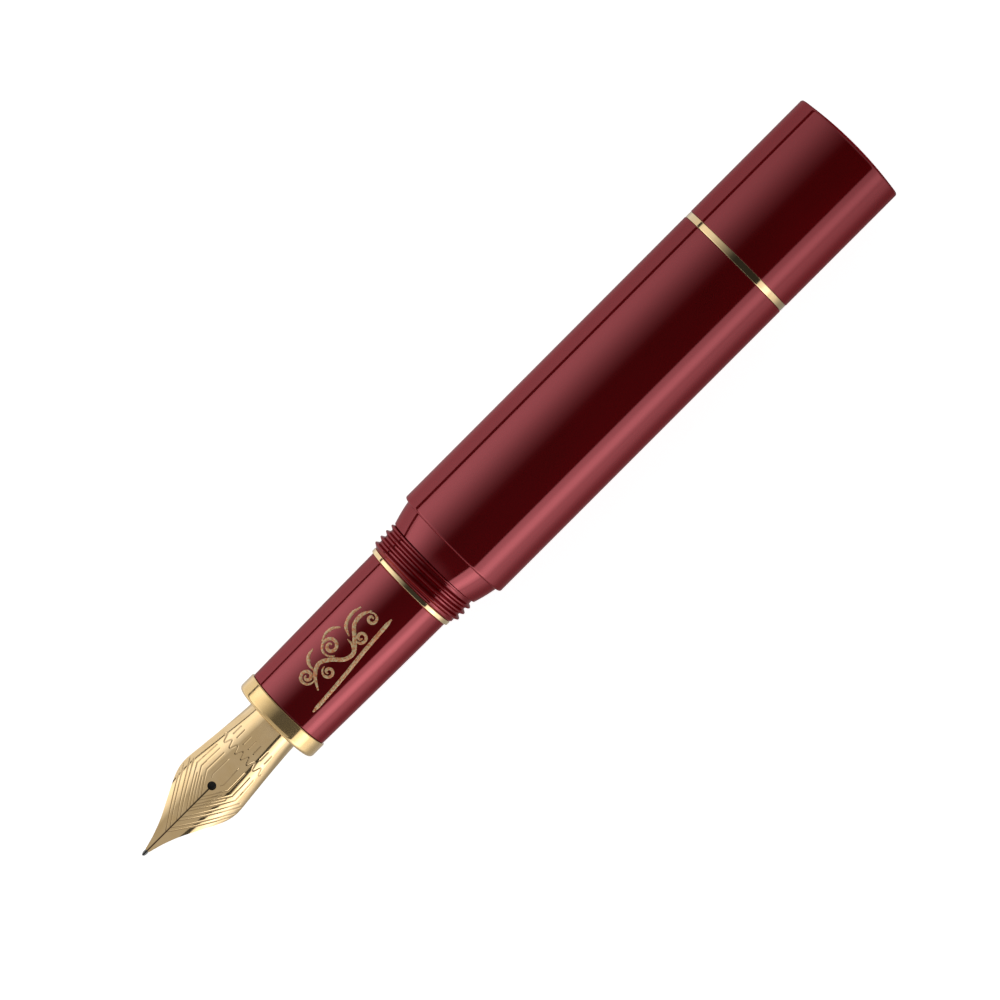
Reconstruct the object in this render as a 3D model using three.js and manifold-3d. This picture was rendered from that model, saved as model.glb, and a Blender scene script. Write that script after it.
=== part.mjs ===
// A piston-filling fountain pen without its cap, lying on its side with the nib's top face up.
//
// Millimetres. +X runs from the nib's tip to the turning knob, and +Z is up. The origin is under
// the middle of the pen, on the surface that the barrel lies on. Each profile is a list of
// [place along the pen, radius] points, turned round the pen's own centre line.

import * as THREE from 'three';
import { mergeVertices } from 'three/addons/utils/BufferGeometryUtils.js';
import Module from 'manifold-3d';

const wasm = await Module();
wasm.setup();

// ---------------------------------------------------------------- driving dimensions

// Lengths along the pen, front to back. They add up to the pen's whole length.
const NIB_EXPOSED = 22.3;
const FRONT_RING_LENGTH = 2.32;
const SECTION_LENGTH = 20.25;
const TRIM_RING_LENGTH = 0.63;
const THREAD_ZONE_LENGTH = 3.7;
const CONE_LENGTH = 2.94;
const BARREL_LENGTH = 46.85;
const TAIL_RING_LENGTH = 0.89;
const KNOB_LENGTH = 18.53;
const KNOB_DOME = 0.59;

// Outside radii.
const BARREL_RADIUS = 7.9;
const SECTION_BACK_RADIUS = 5.95;
const TRIM_RING_RADIUS = 6.22;
const CONE_FRONT_RADIUS = 6.65;
const CONE_BACK_RADIUS = 7.37;

// How much wider the front ring is than its bore, and than the section behind it.
const FRONT_RING_WALL = 0.94;
const FRONT_RING_STEP = 0.2;

// Edges.
const BARREL_CHAMFER = 0.32;
const KNOB_EDGE = 0.3;
const FRONT_RING_EDGE = 0.5;
const RING_BREAK = 0.12;

// Cap thread on the barrel's nose.
const THREAD_ROOT_RADIUS = 6.31;
const THREAD_DEPTH = 0.44;
const THREAD_PITCH = 0.92;
const THREAD_TURNS = 3.3;
const THREAD_CREST_WIDTH = 0.16;
const THREAD_ROOT_WIDTH = 0.7;

// Nib, a rolled sheet with a round breather hole and a slit. Places are measured from its tip.
const NIB_BASE_RADIUS = 3.58;
const NIB_SHEET = 0.35;
const NIB_INSIDE_HOUSING = 11.3;
const NIB_SHOULDER = 11.75;
const NIB_SHOULDER_HALF_WIDTH = 4.45;
const NIB_SHOULDER_ROLL = 5.0;
const TIPPING_LENGTH = 0.93;
const TIPPING_RADIUS = 0.36;
const TIP_HEIGHT = 1.0;
const BREATHER_RADIUS = 0.52;
const SLIT_WIDTH = 0.14;

// Feed, the finned ink carrier under the nib.
const FEED_SETBACK = 5.0;
const FEED_HALF_WIDTH = 3.0;
const FEED_CLEARANCE = 0.12;
const FEED_TAIL_LENGTH = 5.0;
const FEED_TAIL_HALF_WIDTH = 1.6;
const INK_CHANNEL_WIDTH = 0.5;
const INK_CHANNEL_DEPTH = 0.9;
const FIN_COUNT = 9;
const FIN_PITCH = 0.85;
const FIN_GAP = 0.35;

// Nib housing, the collar that grips the nib and feed and screws into the section.
const HOUSING_LENGTH = 12.0;
const HOUSING_WALL = 0.75;
const HOUSING_FLANGE_LENGTH = 0.85;
const HOUSING_FLANGE_STEP = 0.55;

// Section and the joint between the section and the barrel.
const PASSAGE_CLEARANCE = 0.15;
const TENON_RADIUS = 5.12;
const TENON_LENGTH = 7.3;
const SOCKET_DEPTH = 7.75;

// Ink chamber and piston.
const CHAMBER_RADIUS = 5.0;
const PISTON_HEAD_LENGTH = 7.0;
const PISTON_STUB_RADIUS = 1.8;
const PISTON_STUB_LENGTH = 4.8;
const PISTON_FRONT_SPACE = 0.5;
const ROD_RADIUS = 3.1;
const ROD_FLAT = 2.6;
const ROD_END_WALL = 1.1;
const SPINDLE_ENGAGEMENT = 3.2;

// O-rings: the radius of the rubber, and how much wider than the rubber each groove is.
const RUBBER_RADIUS = 0.42;
const GROOVE_SPARE = 0.28;

// Mechanism sleeve, screwed into the back of the barrel. Its neck carries the tail ring and knob.
const SLEEVE_RADIUS = 6.15;
const SLEEVE_DEPTH = 12.2;
const SLEEVE_FRONT_WALL = 3.0;
const NECK_RADIUS = 5.4;

// Spindle, the steep screw that drives the piston rod, and the parts that hold it in the sleeve.
const SPINDLE_CORE_RADIUS = 1.3;
const SPINDLE_CREST_RADIUS = 1.75;
const SPINDLE_STARTS = 2;
const SPINDLE_RIDGE_WIDTH = 1.1;
const KNOB_TURNS = 3;
const COLLAR_RADIUS = 4.1;
const COLLAR_LENGTH = 1.5;
const WASHER_LENGTH = 0.4;
const RETAINER_LENGTH = 2.2;
const HEX_RADIUS = 1.75;
const BOSS_RADIUS = 2.5;

// Knob: it rises by this much on its own thread while it turns.
const KNOB_LIFT = 3.0;
const KNOB_WALL = 1.2;
const KNOB_END_WALL = 2.2;
const INSERT_END_WALL = 2.9;
const HEX_GRIP = 2.5;

// Clearances: pieces pressed face to face, pieces fitted in one another, and pieces that run.
const SEAM = 0.03;
const FIT = 0.06;
const RUN = 0.1;
const END_PLAY = 0.3;

// Facets round the outside pieces and round the small inner ones. Both are multiples of four, so
// a facet faces straight down.
const FACETS = 36;
const INNER_FACETS = 24;
const ARC_STEPS = 4;
const RUBBER_SIDES = 8;

// ---------------------------------------------------------------- places along the pen

const OVERALL_LENGTH = NIB_EXPOSED + FRONT_RING_LENGTH + SECTION_LENGTH + TRIM_RING_LENGTH
  + THREAD_ZONE_LENGTH + CONE_LENGTH + BARREL_LENGTH + TAIL_RING_LENGTH + KNOB_LENGTH + KNOB_DOME;
const TIP = -OVERALL_LENGTH / 2;
const RING_FRONT = TIP + NIB_EXPOSED;
const SECTION_FRONT = RING_FRONT + FRONT_RING_LENGTH;
const TRIM_FRONT = SECTION_FRONT + SECTION_LENGTH;
const NOSE_FRONT = TRIM_FRONT + TRIM_RING_LENGTH;
const CONE_FRONT = NOSE_FRONT + THREAD_ZONE_LENGTH;
const SHOULDER = CONE_FRONT + CONE_LENGTH;
const TAIL_FRONT = SHOULDER + BARREL_LENGTH;
const KNOB_FRONT = TAIL_FRONT + TAIL_RING_LENGTH;
const KNOB_RIM = KNOB_FRONT + KNOB_LENGTH;

const HOUSING_BACK = RING_FRONT + HOUSING_LENGTH;
const TENON_BACK = TRIM_FRONT + TENON_LENGTH;
const CHAMBER_FRONT = NOSE_FRONT + SOCKET_DEPTH;
const SLEEVE_FRONT = TAIL_FRONT - SLEEVE_DEPTH;

// The knob's inside end sets how far back the sleeve reaches, and so the piston's stroke.
const KNOB_INSIDE = KNOB_RIM + KNOB_DOME - KNOB_END_WALL;
const INSERT_WALL_FRONT = KNOB_INSIDE - INSERT_END_WALL;
const SLEEVE_BACK = INSERT_WALL_FRONT - END_PLAY;
const RETAINER_FRONT = SLEEVE_BACK - RUN - RETAINER_LENGTH;
const WASHER_FRONT = RETAINER_FRONT - SEAM - WASHER_LENGTH;
const COLLAR_FRONT = WASHER_FRONT - RUN - COLLAR_LENGTH;
const COLLAR_SEAT = COLLAR_FRONT - RUN;
const ROD_BACK = COLLAR_SEAT - END_PLAY;
const FIXED_LENGTH = PISTON_FRONT_SPACE + PISTON_HEAD_LENGTH + RUN + ROD_END_WALL + END_PLAY
  + SPINDLE_ENGAGEMENT;
const STROKE = (ROD_BACK - CHAMBER_FRONT - FIXED_LENGTH) / 2;
const HEAD_FRONT = CHAMBER_FRONT + PISTON_FRONT_SPACE + STROKE;
const HEAD_BACK = HEAD_FRONT + PISTON_HEAD_LENGTH;
const ROD_FRONT = HEAD_BACK + RUN;
const ROD_BORE_FRONT = ROD_FRONT + ROD_END_WALL;
const SPINDLE_FRONT = ROD_BORE_FRONT + END_PLAY;
const SPINDLE_LEAD = STROKE / KNOB_TURNS;

// ---------------------------------------------------------------- radii of what fits together

const HOUSING_BORE = NIB_BASE_RADIUS + FIT;
const HOUSING_RADIUS = HOUSING_BORE + HOUSING_WALL;
const FLANGE_RADIUS = HOUSING_RADIUS + HOUSING_FLANGE_STEP;
const SECTION_BORE = HOUSING_RADIUS + FIT;
const RING_BORE = FLANGE_RADIUS + FIT;
const FRONT_RING_RADIUS = RING_BORE + FRONT_RING_WALL;
const SECTION_FRONT_RADIUS = FRONT_RING_RADIUS - FRONT_RING_STEP;
const PASSAGE_RADIUS = NIB_BASE_RADIUS - NIB_SHEET + PASSAGE_CLEARANCE;
const SOCKET_RADIUS = TENON_RADIUS + FIT;
const PISTON_RADIUS = CHAMBER_RADIUS - RUN;
const SLEEVE_SOCKET_RADIUS = SLEEVE_RADIUS + FIT;
const ROD_TUNNEL_RADIUS = ROD_RADIUS + END_PLAY;
const COLLAR_BORE = COLLAR_RADIUS + RUN;
const KNOB_BORE = BARREL_RADIUS - KNOB_WALL;
const INSERT_RADIUS = KNOB_BORE - FIT;
const INSERT_BORE = NECK_RADIUS + RUN;
const AXIS_HEIGHT = BARREL_RADIUS * Math.cos(Math.PI / FACETS);

// ---------------------------------------------------------------- geometry helpers

/** Points of a rounded corner, round [x, r] from one angle to another, in degrees. */
function arc(x, r, radius, from, to) {
  const points = [];
  for (let i = 0; i <= ARC_STEPS; i += 1) {
    const angle = THREE.MathUtils.degToRad(from + (to - from) * i / ARC_STEPS);
    points.push([x + radius * Math.cos(angle), r + radius * Math.sin(angle)]);
  }
  return points;
}

/** Merges shared corners and drops the empty triangles that a turned shape has on its axis. */
function closed(geometry) {
  const plain = geometry.clone();
  plain.deleteAttribute('normal');
  plain.deleteAttribute('uv');
  const merged = mergeVertices(plain, 1e-5);
  const corners = merged.getIndex().array;
  const kept = [];
  for (let i = 0; i < corners.length; i += 3) {
    const [a, b, c] = corners.slice(i, i + 3);
    if (a !== b && b !== c && c !== a) {
      kept.push(a, b, c);
    }
  }
  merged.setIndex(kept);
  merged.computeVertexNormals();
  return merged;
}

/** Turns a profile round the pen's centre line. */
function turned(profile, facets = FACETS) {
  const points = profile.map(([x, r]) => new THREE.Vector2(r, x));
  const lathe = new THREE.LatheGeometry(points, facets, Math.PI / facets);
  return closed(lathe.rotateZ(-Math.PI / 2));
}

/** Turns a profile that has a bore, so its last point meets its first. */
function turnedRing(profile, facets = FACETS) {
  return turned([...profile, profile[0]], facets);
}

/** A geometry as a solid that can be cut and joined. */
function solid(geometry) {
  const plain = closed(geometry);
  return new wasm.Manifold(new wasm.Mesh({
    numProp: 3,
    vertProperties: new Float32Array(plain.getAttribute('position').array),
    triVerts: new Uint32Array(plain.getIndex().array),
  }));
}

/** A cut or joined solid as a geometry again. */
function geometryOf(manifold) {
  const mesh = manifold.getMesh();
  const geometry = new THREE.BufferGeometry();
  geometry.setAttribute('position', new THREE.BufferAttribute(mesh.vertProperties, 3));
  geometry.setIndex(new THREE.BufferAttribute(mesh.triVerts, 1));
  geometry.computeVertexNormals();
  return geometry;
}

/** A box from its lowest to its highest corner. */
function block(low, high) {
  const size = high.map((value, i) => value - low[i]);
  const box = new THREE.BoxGeometry(...size);
  return box.translate(...low.map((value, i) => value + size[i] / 2));
}

/** A closed geometry from corners and quads, each quad seen anticlockwise from outside. */
function fromQuads(corners, quads) {
  const geometry = new THREE.BufferGeometry();
  geometry.setAttribute('position', new THREE.Float32BufferAttribute(corners.flat(), 3));
  geometry.setIndex(quads.flatMap(([a, b, c, d]) => [a, b, c, a, c, d]));
  return geometry;
}

/** A smooth value along the pen through [place, value] points, flat beyond both ends. */
function through(points) {
  const slopeAt = (i) => {
    const before = points[Math.max(i - 1, 0)];
    const after = points[Math.min(i + 1, points.length - 1)];
    return (after[1] - before[1]) / (after[0] - before[0]);
  };
  return (place) => {
    if (place <= points[0][0]) {
      return points[0][1];
    }
    const next = points.findIndex(([x]) => x > place);
    if (next < 0) {
      return points.at(-1)[1];
    }
    const [x0, y0] = points[next - 1];
    const [x1, y1] = points[next];
    const span = x1 - x0;
    const t = (place - x0) / span;
    const rise = slopeAt(next - 1) * span * (t ** 3 - 2 * t ** 2 + t);
    const settle = slopeAt(next) * span * (t ** 3 - t ** 2);
    return y0 + (y1 - y0) * (3 * t ** 2 - 2 * t ** 3) + rise + settle;
  };
}

/** A screw thread's ridge, sunk a little into its core and fading out at both ends. */
function threadRidge({ start, turns, lead, root, crest, rootWidth, crestWidth, turnBy, facets }) {
  const sink = 0.15;
  const steps = Math.round(turns * facets);
  const fade = facets / 4;
  const corners = [];
  const quads = [];
  for (let i = 0; i <= steps; i += 1) {
    const angle = turnBy + i * 2 * Math.PI / facets;
    const x = start + lead * i / facets;
    const grown = Math.min(1, (i + 0.5) / fade, (steps - i + 0.5) / fade);
    const low = root - sink;
    const high = low + (crest - low) * grown;
    const section = [[-rootWidth, low], [rootWidth, low], [crestWidth, high], [-crestWidth, high]];
    for (const [width, r] of section) {
      corners.push([x + width / 2, r * Math.cos(angle), r * Math.sin(angle)]);
    }
    for (let j = 0; j < 4 && i < steps; j += 1) {
      const here = 4 * i + j;
      const beside = 4 * i + (j + 1) % 4;
      quads.push([here, beside, beside + 4, here + 4]);
    }
  }
  const end = 4 * steps;
  quads.push([3, 2, 1, 0], [end, end + 1, end + 2, end + 3]);
  return fromQuads(corners, quads);
}

/** A round rubber ring standing in a groove. */
function rubberRing(x, radius) {
  const points = [];
  for (let i = 0; i <= RUBBER_SIDES; i += 1) {
    const angle = -2 * Math.PI * i / RUBBER_SIDES + Math.PI / RUBBER_SIDES;
    points.push([x + RUBBER_RADIUS * Math.cos(angle), radius + RUBBER_RADIUS * Math.sin(angle)]);
  }
  return turned(points, INNER_FACETS);
}

/** The four points of a groove for a rubber ring, cut into a shaft from one radius. */
function groove(x, radius, bottom) {
  const half = RUBBER_RADIUS + GROOVE_SPARE / 2;
  return [[x - half, radius], [x - half, bottom], [x + half, bottom], [x + half, radius]];
}

/** Where a rubber ring's centre runs, and its groove's bottom, to seal against a bore. */
function sealIn(bore) {
  const centre = bore * Math.cos(Math.PI / FACETS) - FIT - RUBBER_RADIUS;
  return { centre, bottom: (centre - RUBBER_RADIUS) * Math.cos(Math.PI / INNER_FACETS) - FIT };
}

// ---------------------------------------------------------------- materials

const GOLD = { color: 0xd9b56a, roughness: 0.18, metalness: 1 };
const BRASS = { color: 0xb58b3e, roughness: 0.35, metalness: 1 };
const RESIN = { color: 0x5a0812, roughness: 0.12, metalness: 0 };
const TIPPING = { color: 0x6c6c70, roughness: 0.3, metalness: 1 };
const EBONITE = { color: 0x131313, roughness: 0.5, metalness: 0 };
const RUBBER = { color: 0x0c0c0c, roughness: 0.8, metalness: 0 };
const NYLON = { color: 0xe6e1d2, roughness: 0.5, metalness: 0 };

const pen = new THREE.Group();
pen.position.z = AXIS_HEIGHT;

function addPiece(name, geometry, finish) {
  const mesh = new THREE.Mesh(geometry, new THREE.MeshStandardMaterial(finish));
  mesh.name = name;
  pen.add(mesh);
}

// ---------------------------------------------------------------- nib, tipping and feed

const nibHalfWidth = through([
  [TIPPING_LENGTH, TIPPING_RADIUS],
  [2.8, 0.82],
  [4.9, 1.61],
  [7.3, 2.82],
  [9.6, 3.99],
  [10.6, 4.32],
  [NIB_SHOULDER, NIB_SHOULDER_HALF_WIDTH],
  [14.5, 4.2],
  [18.0, 3.86],
  [NIB_EXPOSED, NIB_BASE_RADIUS],
]);
const nibTop = through([
  [TIPPING_LENGTH, TIP_HEIGHT],
  [5.0, 2.05],
  [9.0, 2.95],
  [NIB_SHOULDER, NIB_BASE_RADIUS - 0.3],
  [NIB_EXPOSED, NIB_BASE_RADIUS],
]);
const nibRoll = through([
  [TIPPING_LENGTH, 1.5],
  [5.0, 3.3],
  [8.0, 4.5],
  [NIB_SHOULDER, NIB_SHOULDER_ROLL],
  [16.0, 4.5],
  [NIB_EXPOSED, NIB_BASE_RADIUS],
]);

/** The nib is a curved sheet: at each station an arc, narrow at the tip and a half pipe behind. */
function nibSheet() {
  const stations = [0.95, 1.9, 2.8, 3.9, 4.9, 6.1, 7.3, 8.5, 9.6, 10.1, 10.6, 11.1, 11.75, 12.6,
    13.5, 14.5, 16.2, 18.0, 20.0, NIB_EXPOSED, NIB_EXPOSED + NIB_INSIDE_HOUSING];
  const across = 14;
  const corners = [];
  for (const station of stations) {
    const roll = nibRoll(station);
    const centre = nibTop(station) - roll;
    const spread = Math.asin(Math.min(1, nibHalfWidth(station) / roll));
    for (const radius of [roll, roll - NIB_SHEET]) {
      for (let j = 0; j <= across; j += 1) {
        const angle = spread * (2 * j / across - 1);
        corners.push([TIP + station, radius * Math.sin(angle), centre + radius * Math.cos(angle)]);
      }
    }
  }
  const row = across + 1;
  const at = (i, side, j) => (2 * i + side) * row + j;
  const quads = [];
  for (let i = 0; i + 1 < stations.length; i += 1) {
    for (let j = 0; j < across; j += 1) {
      quads.push([at(i, 0, j + 1), at(i, 0, j), at(i + 1, 0, j), at(i + 1, 0, j + 1)]);
      quads.push([at(i, 1, j), at(i, 1, j + 1), at(i + 1, 1, j + 1), at(i + 1, 1, j)]);
    }
    quads.push([at(i, 0, 0), at(i, 1, 0), at(i + 1, 1, 0), at(i + 1, 0, 0)]);
    quads.push([at(i, 1, across), at(i, 0, across), at(i + 1, 0, across), at(i + 1, 1, across)]);
  }
  const last = stations.length - 1;
  for (let j = 0; j < across; j += 1) {
    quads.push([at(0, 0, j), at(0, 0, j + 1), at(0, 1, j + 1), at(0, 1, j)]);
    quads.push([at(last, 0, j + 1), at(last, 0, j), at(last, 1, j), at(last, 1, j + 1)]);
  }
  return fromQuads(corners, quads);
}

/** The slit's cutter, from ahead of the tip to the middle of the breather hole. */
function slitCutter() {
  const half = SLIT_WIDTH / 2;
  const reach = NIB_BASE_RADIUS + 1;
  return solid(block([TIP - 1, -half, -reach], [TIP + NIB_SHOULDER, half, reach]));
}

function addNib() {
  const hole = new THREE.CylinderGeometry(BREATHER_RADIUS, BREATHER_RADIUS, 4, INNER_FACETS);
  hole.rotateX(Math.PI / 2).translate(TIP + NIB_SHOULDER, 0, NIB_BASE_RADIUS);
  const nib = solid(nibSheet()).subtract(solid(hole)).subtract(slitCutter());
  addPiece('nib', geometryOf(nib), GOLD);
}

/** The hard pellet at the tip, slit in two halves, one on each tine. */
function addTipping() {
  const round = TIPPING_RADIUS;
  const pellet = turned([
    ...arc(TIP + round, 0, round, 180, 90),
    [TIP + TIPPING_LENGTH - SEAM, round],
    [TIP + TIPPING_LENGTH - SEAM, 0],
  ], INNER_FACETS);
  pellet.translate(0, 0, TIP_HEIGHT - round);
  const half = SLIT_WIDTH / 2;
  const left = block([TIP - 1, half, -3], [TIP + 3, 3, 3]);
  const right = block([TIP - 1, -3, -3], [TIP + 3, -half, 3]);
  addPiece('tipping_left', geometryOf(solid(pellet).intersect(solid(left))), TIPPING);
  addPiece('tipping_right', geometryOf(solid(pellet).intersect(solid(right))), TIPPING);
}

const FEED_MAIN_BACK = NIB_EXPOSED + HOUSING_LENGTH - 0.4;
const feedHalfWidth = through([
  [FEED_SETBACK, 0.5],
  [8.0, 1.9],
  [11.0, 2.7],
  [14.0, FEED_HALF_WIDTH],
]);
const feedBottom = through([
  [FEED_SETBACK, 0.9],
  [8.0, -0.9],
  [11.0, -2.3],
  [14.0, -NIB_BASE_RADIUS + 0.25],
  [NIB_EXPOSED, -NIB_BASE_RADIUS + 0.1],
]);

/** One closed loop round the feed: its top lies under the nib, its belly is half an ellipse. */
function feedLoop(station, halfWidth, bottom) {
  const topPoints = 8;
  const bellyPoints = 12;
  const roll = nibRoll(station) - NIB_SHEET - FEED_CLEARANCE;
  const centre = nibTop(station) - nibRoll(station);
  const spread = Math.asin(halfWidth / roll);
  const loop = [];
  for (let i = 0; i <= topPoints; i += 1) {
    const angle = spread * (1 - 2 * i / topPoints);
    loop.push([TIP + station, roll * Math.sin(angle), centre + roll * Math.cos(angle)]);
  }
  const side = loop[0][2];
  for (let i = 1; i < bellyPoints; i += 1) {
    const angle = Math.PI * (1 + i / bellyPoints);
    loop.push([TIP + station, halfWidth * Math.cos(angle), side + (side - bottom) * Math.sin(angle)]);
  }
  return loop;
}

/** Skins a row of loops, each with the same number of points, and closes both ends. */
function skin(loops) {
  const count = loops[0].length;
  const corners = loops.flat();
  const middleOf = (loop) => [0, 1, 2].map((k) => loop.reduce((sum, p) => sum + p[k], 0) / count);
  const front = corners.push(middleOf(loops[0])) - 1;
  const back = corners.push(middleOf(loops.at(-1))) - 1;
  const faces = [];
  for (let j = 0; j < count; j += 1) {
    const beside = (j + 1) % count;
    for (let i = 0; i + 1 < loops.length; i += 1) {
      const [a, b] = [i * count + j, i * count + beside];
      faces.push(a, b, a + count, b, b + count, a + count);
    }
    const lastRow = (loops.length - 1) * count;
    faces.push(front, beside, j, back, lastRow + j, lastRow + beside);
  }
  const geometry = new THREE.BufferGeometry();
  geometry.setAttribute('position', new THREE.Float32BufferAttribute(corners.flat(), 3));
  geometry.setIndex(faces);
  return geometry;
}

function addFeed() {
  const stations = [FEED_SETBACK, 6.5, 8.0, 9.5, 11.0, 12.5, 14.0, 18.0, NIB_EXPOSED, FEED_MAIN_BACK];
  const loops = stations.map((s) => feedLoop(s, feedHalfWidth(s), feedBottom(s)));
  for (const station of [FEED_MAIN_BACK + 0.05, FEED_MAIN_BACK + FEED_TAIL_LENGTH]) {
    loops.push(feedLoop(station, FEED_TAIL_HALF_WIDTH, 0));
  }
  let feed = solid(skin(loops));
  const channelTop = NIB_BASE_RADIUS - NIB_SHEET;
  const channel = block(
    [TIP + FEED_SETBACK + 3, -INK_CHANNEL_WIDTH / 2, channelTop - INK_CHANNEL_DEPTH],
    [TIP + FEED_MAIN_BACK + FEED_TAIL_LENGTH + 1, INK_CHANNEL_WIDTH / 2, channelTop + 1],
  );
  feed = feed.subtract(solid(channel));
  const firstGap = RING_FRONT - 0.8 - FIN_COUNT * FIN_PITCH;
  for (let i = 0; i < FIN_COUNT; i += 1) {
    const x = firstGap + i * FIN_PITCH;
    const gap = block([x, -5, -NIB_BASE_RADIUS - 1], [x + FIN_GAP, 5, -1]);
    feed = feed.subtract(solid(gap));
  }
  addPiece('feed', geometryOf(feed), EBONITE);
}

// ---------------------------------------------------------------- housing, rings and section

function addNibHousing() {
  const flangeBack = RING_FRONT + HOUSING_FLANGE_LENGTH;
  addPiece('nib_housing', turnedRing([
    [RING_FRONT + FIT, HOUSING_BORE],
    [RING_FRONT + FIT, FLANGE_RADIUS],
    [flangeBack, FLANGE_RADIUS],
    [flangeBack, HOUSING_RADIUS],
    [HOUSING_BACK, HOUSING_RADIUS],
    [HOUSING_BACK, HOUSING_BORE],
  ]), EBONITE);
}

function addFrontRing() {
  const edge = FRONT_RING_EDGE;
  const back = SECTION_FRONT - SEAM;
  addPiece('section_front_ring', turnedRing([
    [RING_FRONT, RING_BORE],
    ...arc(RING_FRONT + edge, FRONT_RING_RADIUS - edge, edge, 180, 90),
    [back - RING_BREAK, FRONT_RING_RADIUS],
    [back, FRONT_RING_RADIUS - RING_BREAK],
    [back, RING_BORE],
  ]), GOLD);
}

const O_RING_PLACE = NOSE_FRONT + 2.6;

function addSection() {
  const seal = sealIn(SOCKET_RADIUS);
  addPiece('section', turnedRing([
    [RING_FRONT + HOUSING_FLANGE_LENGTH + SEAM, SECTION_BORE],
    [RING_FRONT + HOUSING_FLANGE_LENGTH + SEAM, FLANGE_RADIUS],
    [SECTION_FRONT, FLANGE_RADIUS],
    [SECTION_FRONT, SECTION_FRONT_RADIUS - RING_BREAK],
    [SECTION_FRONT + RING_BREAK, SECTION_FRONT_RADIUS],
    [TRIM_FRONT - SECTION_LENGTH / 2, (SECTION_FRONT_RADIUS + SECTION_BACK_RADIUS) / 2 + 0.03],
    [TRIM_FRONT - SEAM, SECTION_BACK_RADIUS],
    [TRIM_FRONT - SEAM, TENON_RADIUS],
    ...groove(O_RING_PLACE, TENON_RADIUS, seal.bottom),
    [TENON_BACK, TENON_RADIUS],
    [TENON_BACK, PASSAGE_RADIUS],
    [HOUSING_BACK + END_PLAY, PASSAGE_RADIUS],
    [HOUSING_BACK + END_PLAY, SECTION_BORE],
  ]), RESIN);
  addPiece('section_o_ring', rubberRing(O_RING_PLACE, seal.centre), RUBBER);
}

function addTrimRing() {
  const back = NOSE_FRONT - SEAM;
  addPiece('section_trim_ring', turnedRing([
    [TRIM_FRONT, SOCKET_RADIUS],
    [TRIM_FRONT, SECTION_BACK_RADIUS],
    [TRIM_FRONT + RING_BREAK, TRIM_RING_RADIUS],
    [back - RING_BREAK, TRIM_RING_RADIUS],
    [back, TRIM_RING_RADIUS - RING_BREAK],
    [back, SOCKET_RADIUS],
  ]), GOLD);
}

// ---------------------------------------------------------------- barrel

function barrelBody() {
  const back = TAIL_FRONT - SEAM;
  return turnedRing([
    [NOSE_FRONT, SOCKET_RADIUS],
    [NOSE_FRONT, TRIM_RING_RADIUS - RING_BREAK],
    [NOSE_FRONT + RING_BREAK, THREAD_ROOT_RADIUS],
    [CONE_FRONT - RING_BREAK, THREAD_ROOT_RADIUS],
    [CONE_FRONT, CONE_FRONT_RADIUS],
    [SHOULDER, CONE_BACK_RADIUS],
    [SHOULDER, BARREL_RADIUS - BARREL_CHAMFER],
    [SHOULDER + BARREL_CHAMFER, BARREL_RADIUS],
    [back, BARREL_RADIUS],
    [back, SLEEVE_SOCKET_RADIUS],
    [SLEEVE_FRONT - RUN, SLEEVE_SOCKET_RADIUS],
    [SLEEVE_FRONT - RUN, CHAMBER_RADIUS],
    [CHAMBER_FRONT, CHAMBER_RADIUS],
    [CHAMBER_FRONT, SOCKET_RADIUS],
  ]);
}

function addBarrel() {
  const thread = threadRidge({
    start: NOSE_FRONT + THREAD_ROOT_WIDTH / 2,
    turns: THREAD_TURNS,
    lead: THREAD_PITCH,
    root: THREAD_ROOT_RADIUS,
    crest: THREAD_ROOT_RADIUS + THREAD_DEPTH,
    rootWidth: THREAD_ROOT_WIDTH,
    crestWidth: THREAD_CREST_WIDTH,
    turnBy: -Math.PI / 2,
    facets: FACETS,
  });
  addPiece('barrel', geometryOf(solid(barrelBody()).add(solid(thread))), RESIN);
}

// ---------------------------------------------------------------- piston

function addPiston() {
  const seal = sealIn(CHAMBER_RADIUS);
  const frontSeal = HEAD_FRONT + PISTON_HEAD_LENGTH * 0.25;
  const rearSeal = HEAD_FRONT + PISTON_HEAD_LENGTH * 0.75;
  const stubFront = ROD_FRONT - PISTON_STUB_LENGTH;
  addPiece('piston_head', turned([
    [HEAD_FRONT, 0],
    [HEAD_FRONT, PISTON_RADIUS - RING_BREAK],
    [HEAD_FRONT + RING_BREAK, PISTON_RADIUS],
    ...groove(frontSeal, PISTON_RADIUS, seal.bottom),
    ...groove(rearSeal, PISTON_RADIUS, seal.bottom),
    [HEAD_BACK, PISTON_RADIUS],
    [HEAD_BACK, PISTON_STUB_RADIUS + FIT],
    [stubFront - FIT, PISTON_STUB_RADIUS + FIT],
    [stubFront - FIT, 0],
  ]), EBONITE);
  addPiece('piston_front_o_ring', rubberRing(frontSeal, seal.centre), RUBBER);
  addPiece('piston_rear_o_ring', rubberRing(rearSeal, seal.centre), RUBBER);
  addPistonRod(stubFront);
}

/** The rod is a tube with two flats, so that it slides in the sleeve but can't turn. */
function addPistonRod(stubFront) {
  const tube = turned([
    [stubFront, 0],
    [stubFront, PISTON_STUB_RADIUS],
    [ROD_FRONT, PISTON_STUB_RADIUS],
    [ROD_FRONT, ROD_RADIUS],
    [ROD_BACK, ROD_RADIUS],
    [ROD_BACK, SPINDLE_CREST_RADIUS + RUN],
    [ROD_BORE_FRONT, SPINDLE_CREST_RADIUS + RUN],
    [ROD_BORE_FRONT, 0],
  ], INNER_FACETS);
  const side = ROD_RADIUS + 1;
  const between = block([stubFront - 1, -side, -ROD_FLAT], [ROD_BACK + 1, side, ROD_FLAT]);
  addPiece('piston_rod', geometryOf(solid(tube).intersect(solid(between))), NYLON);
}

// ---------------------------------------------------------------- mechanism

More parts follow.
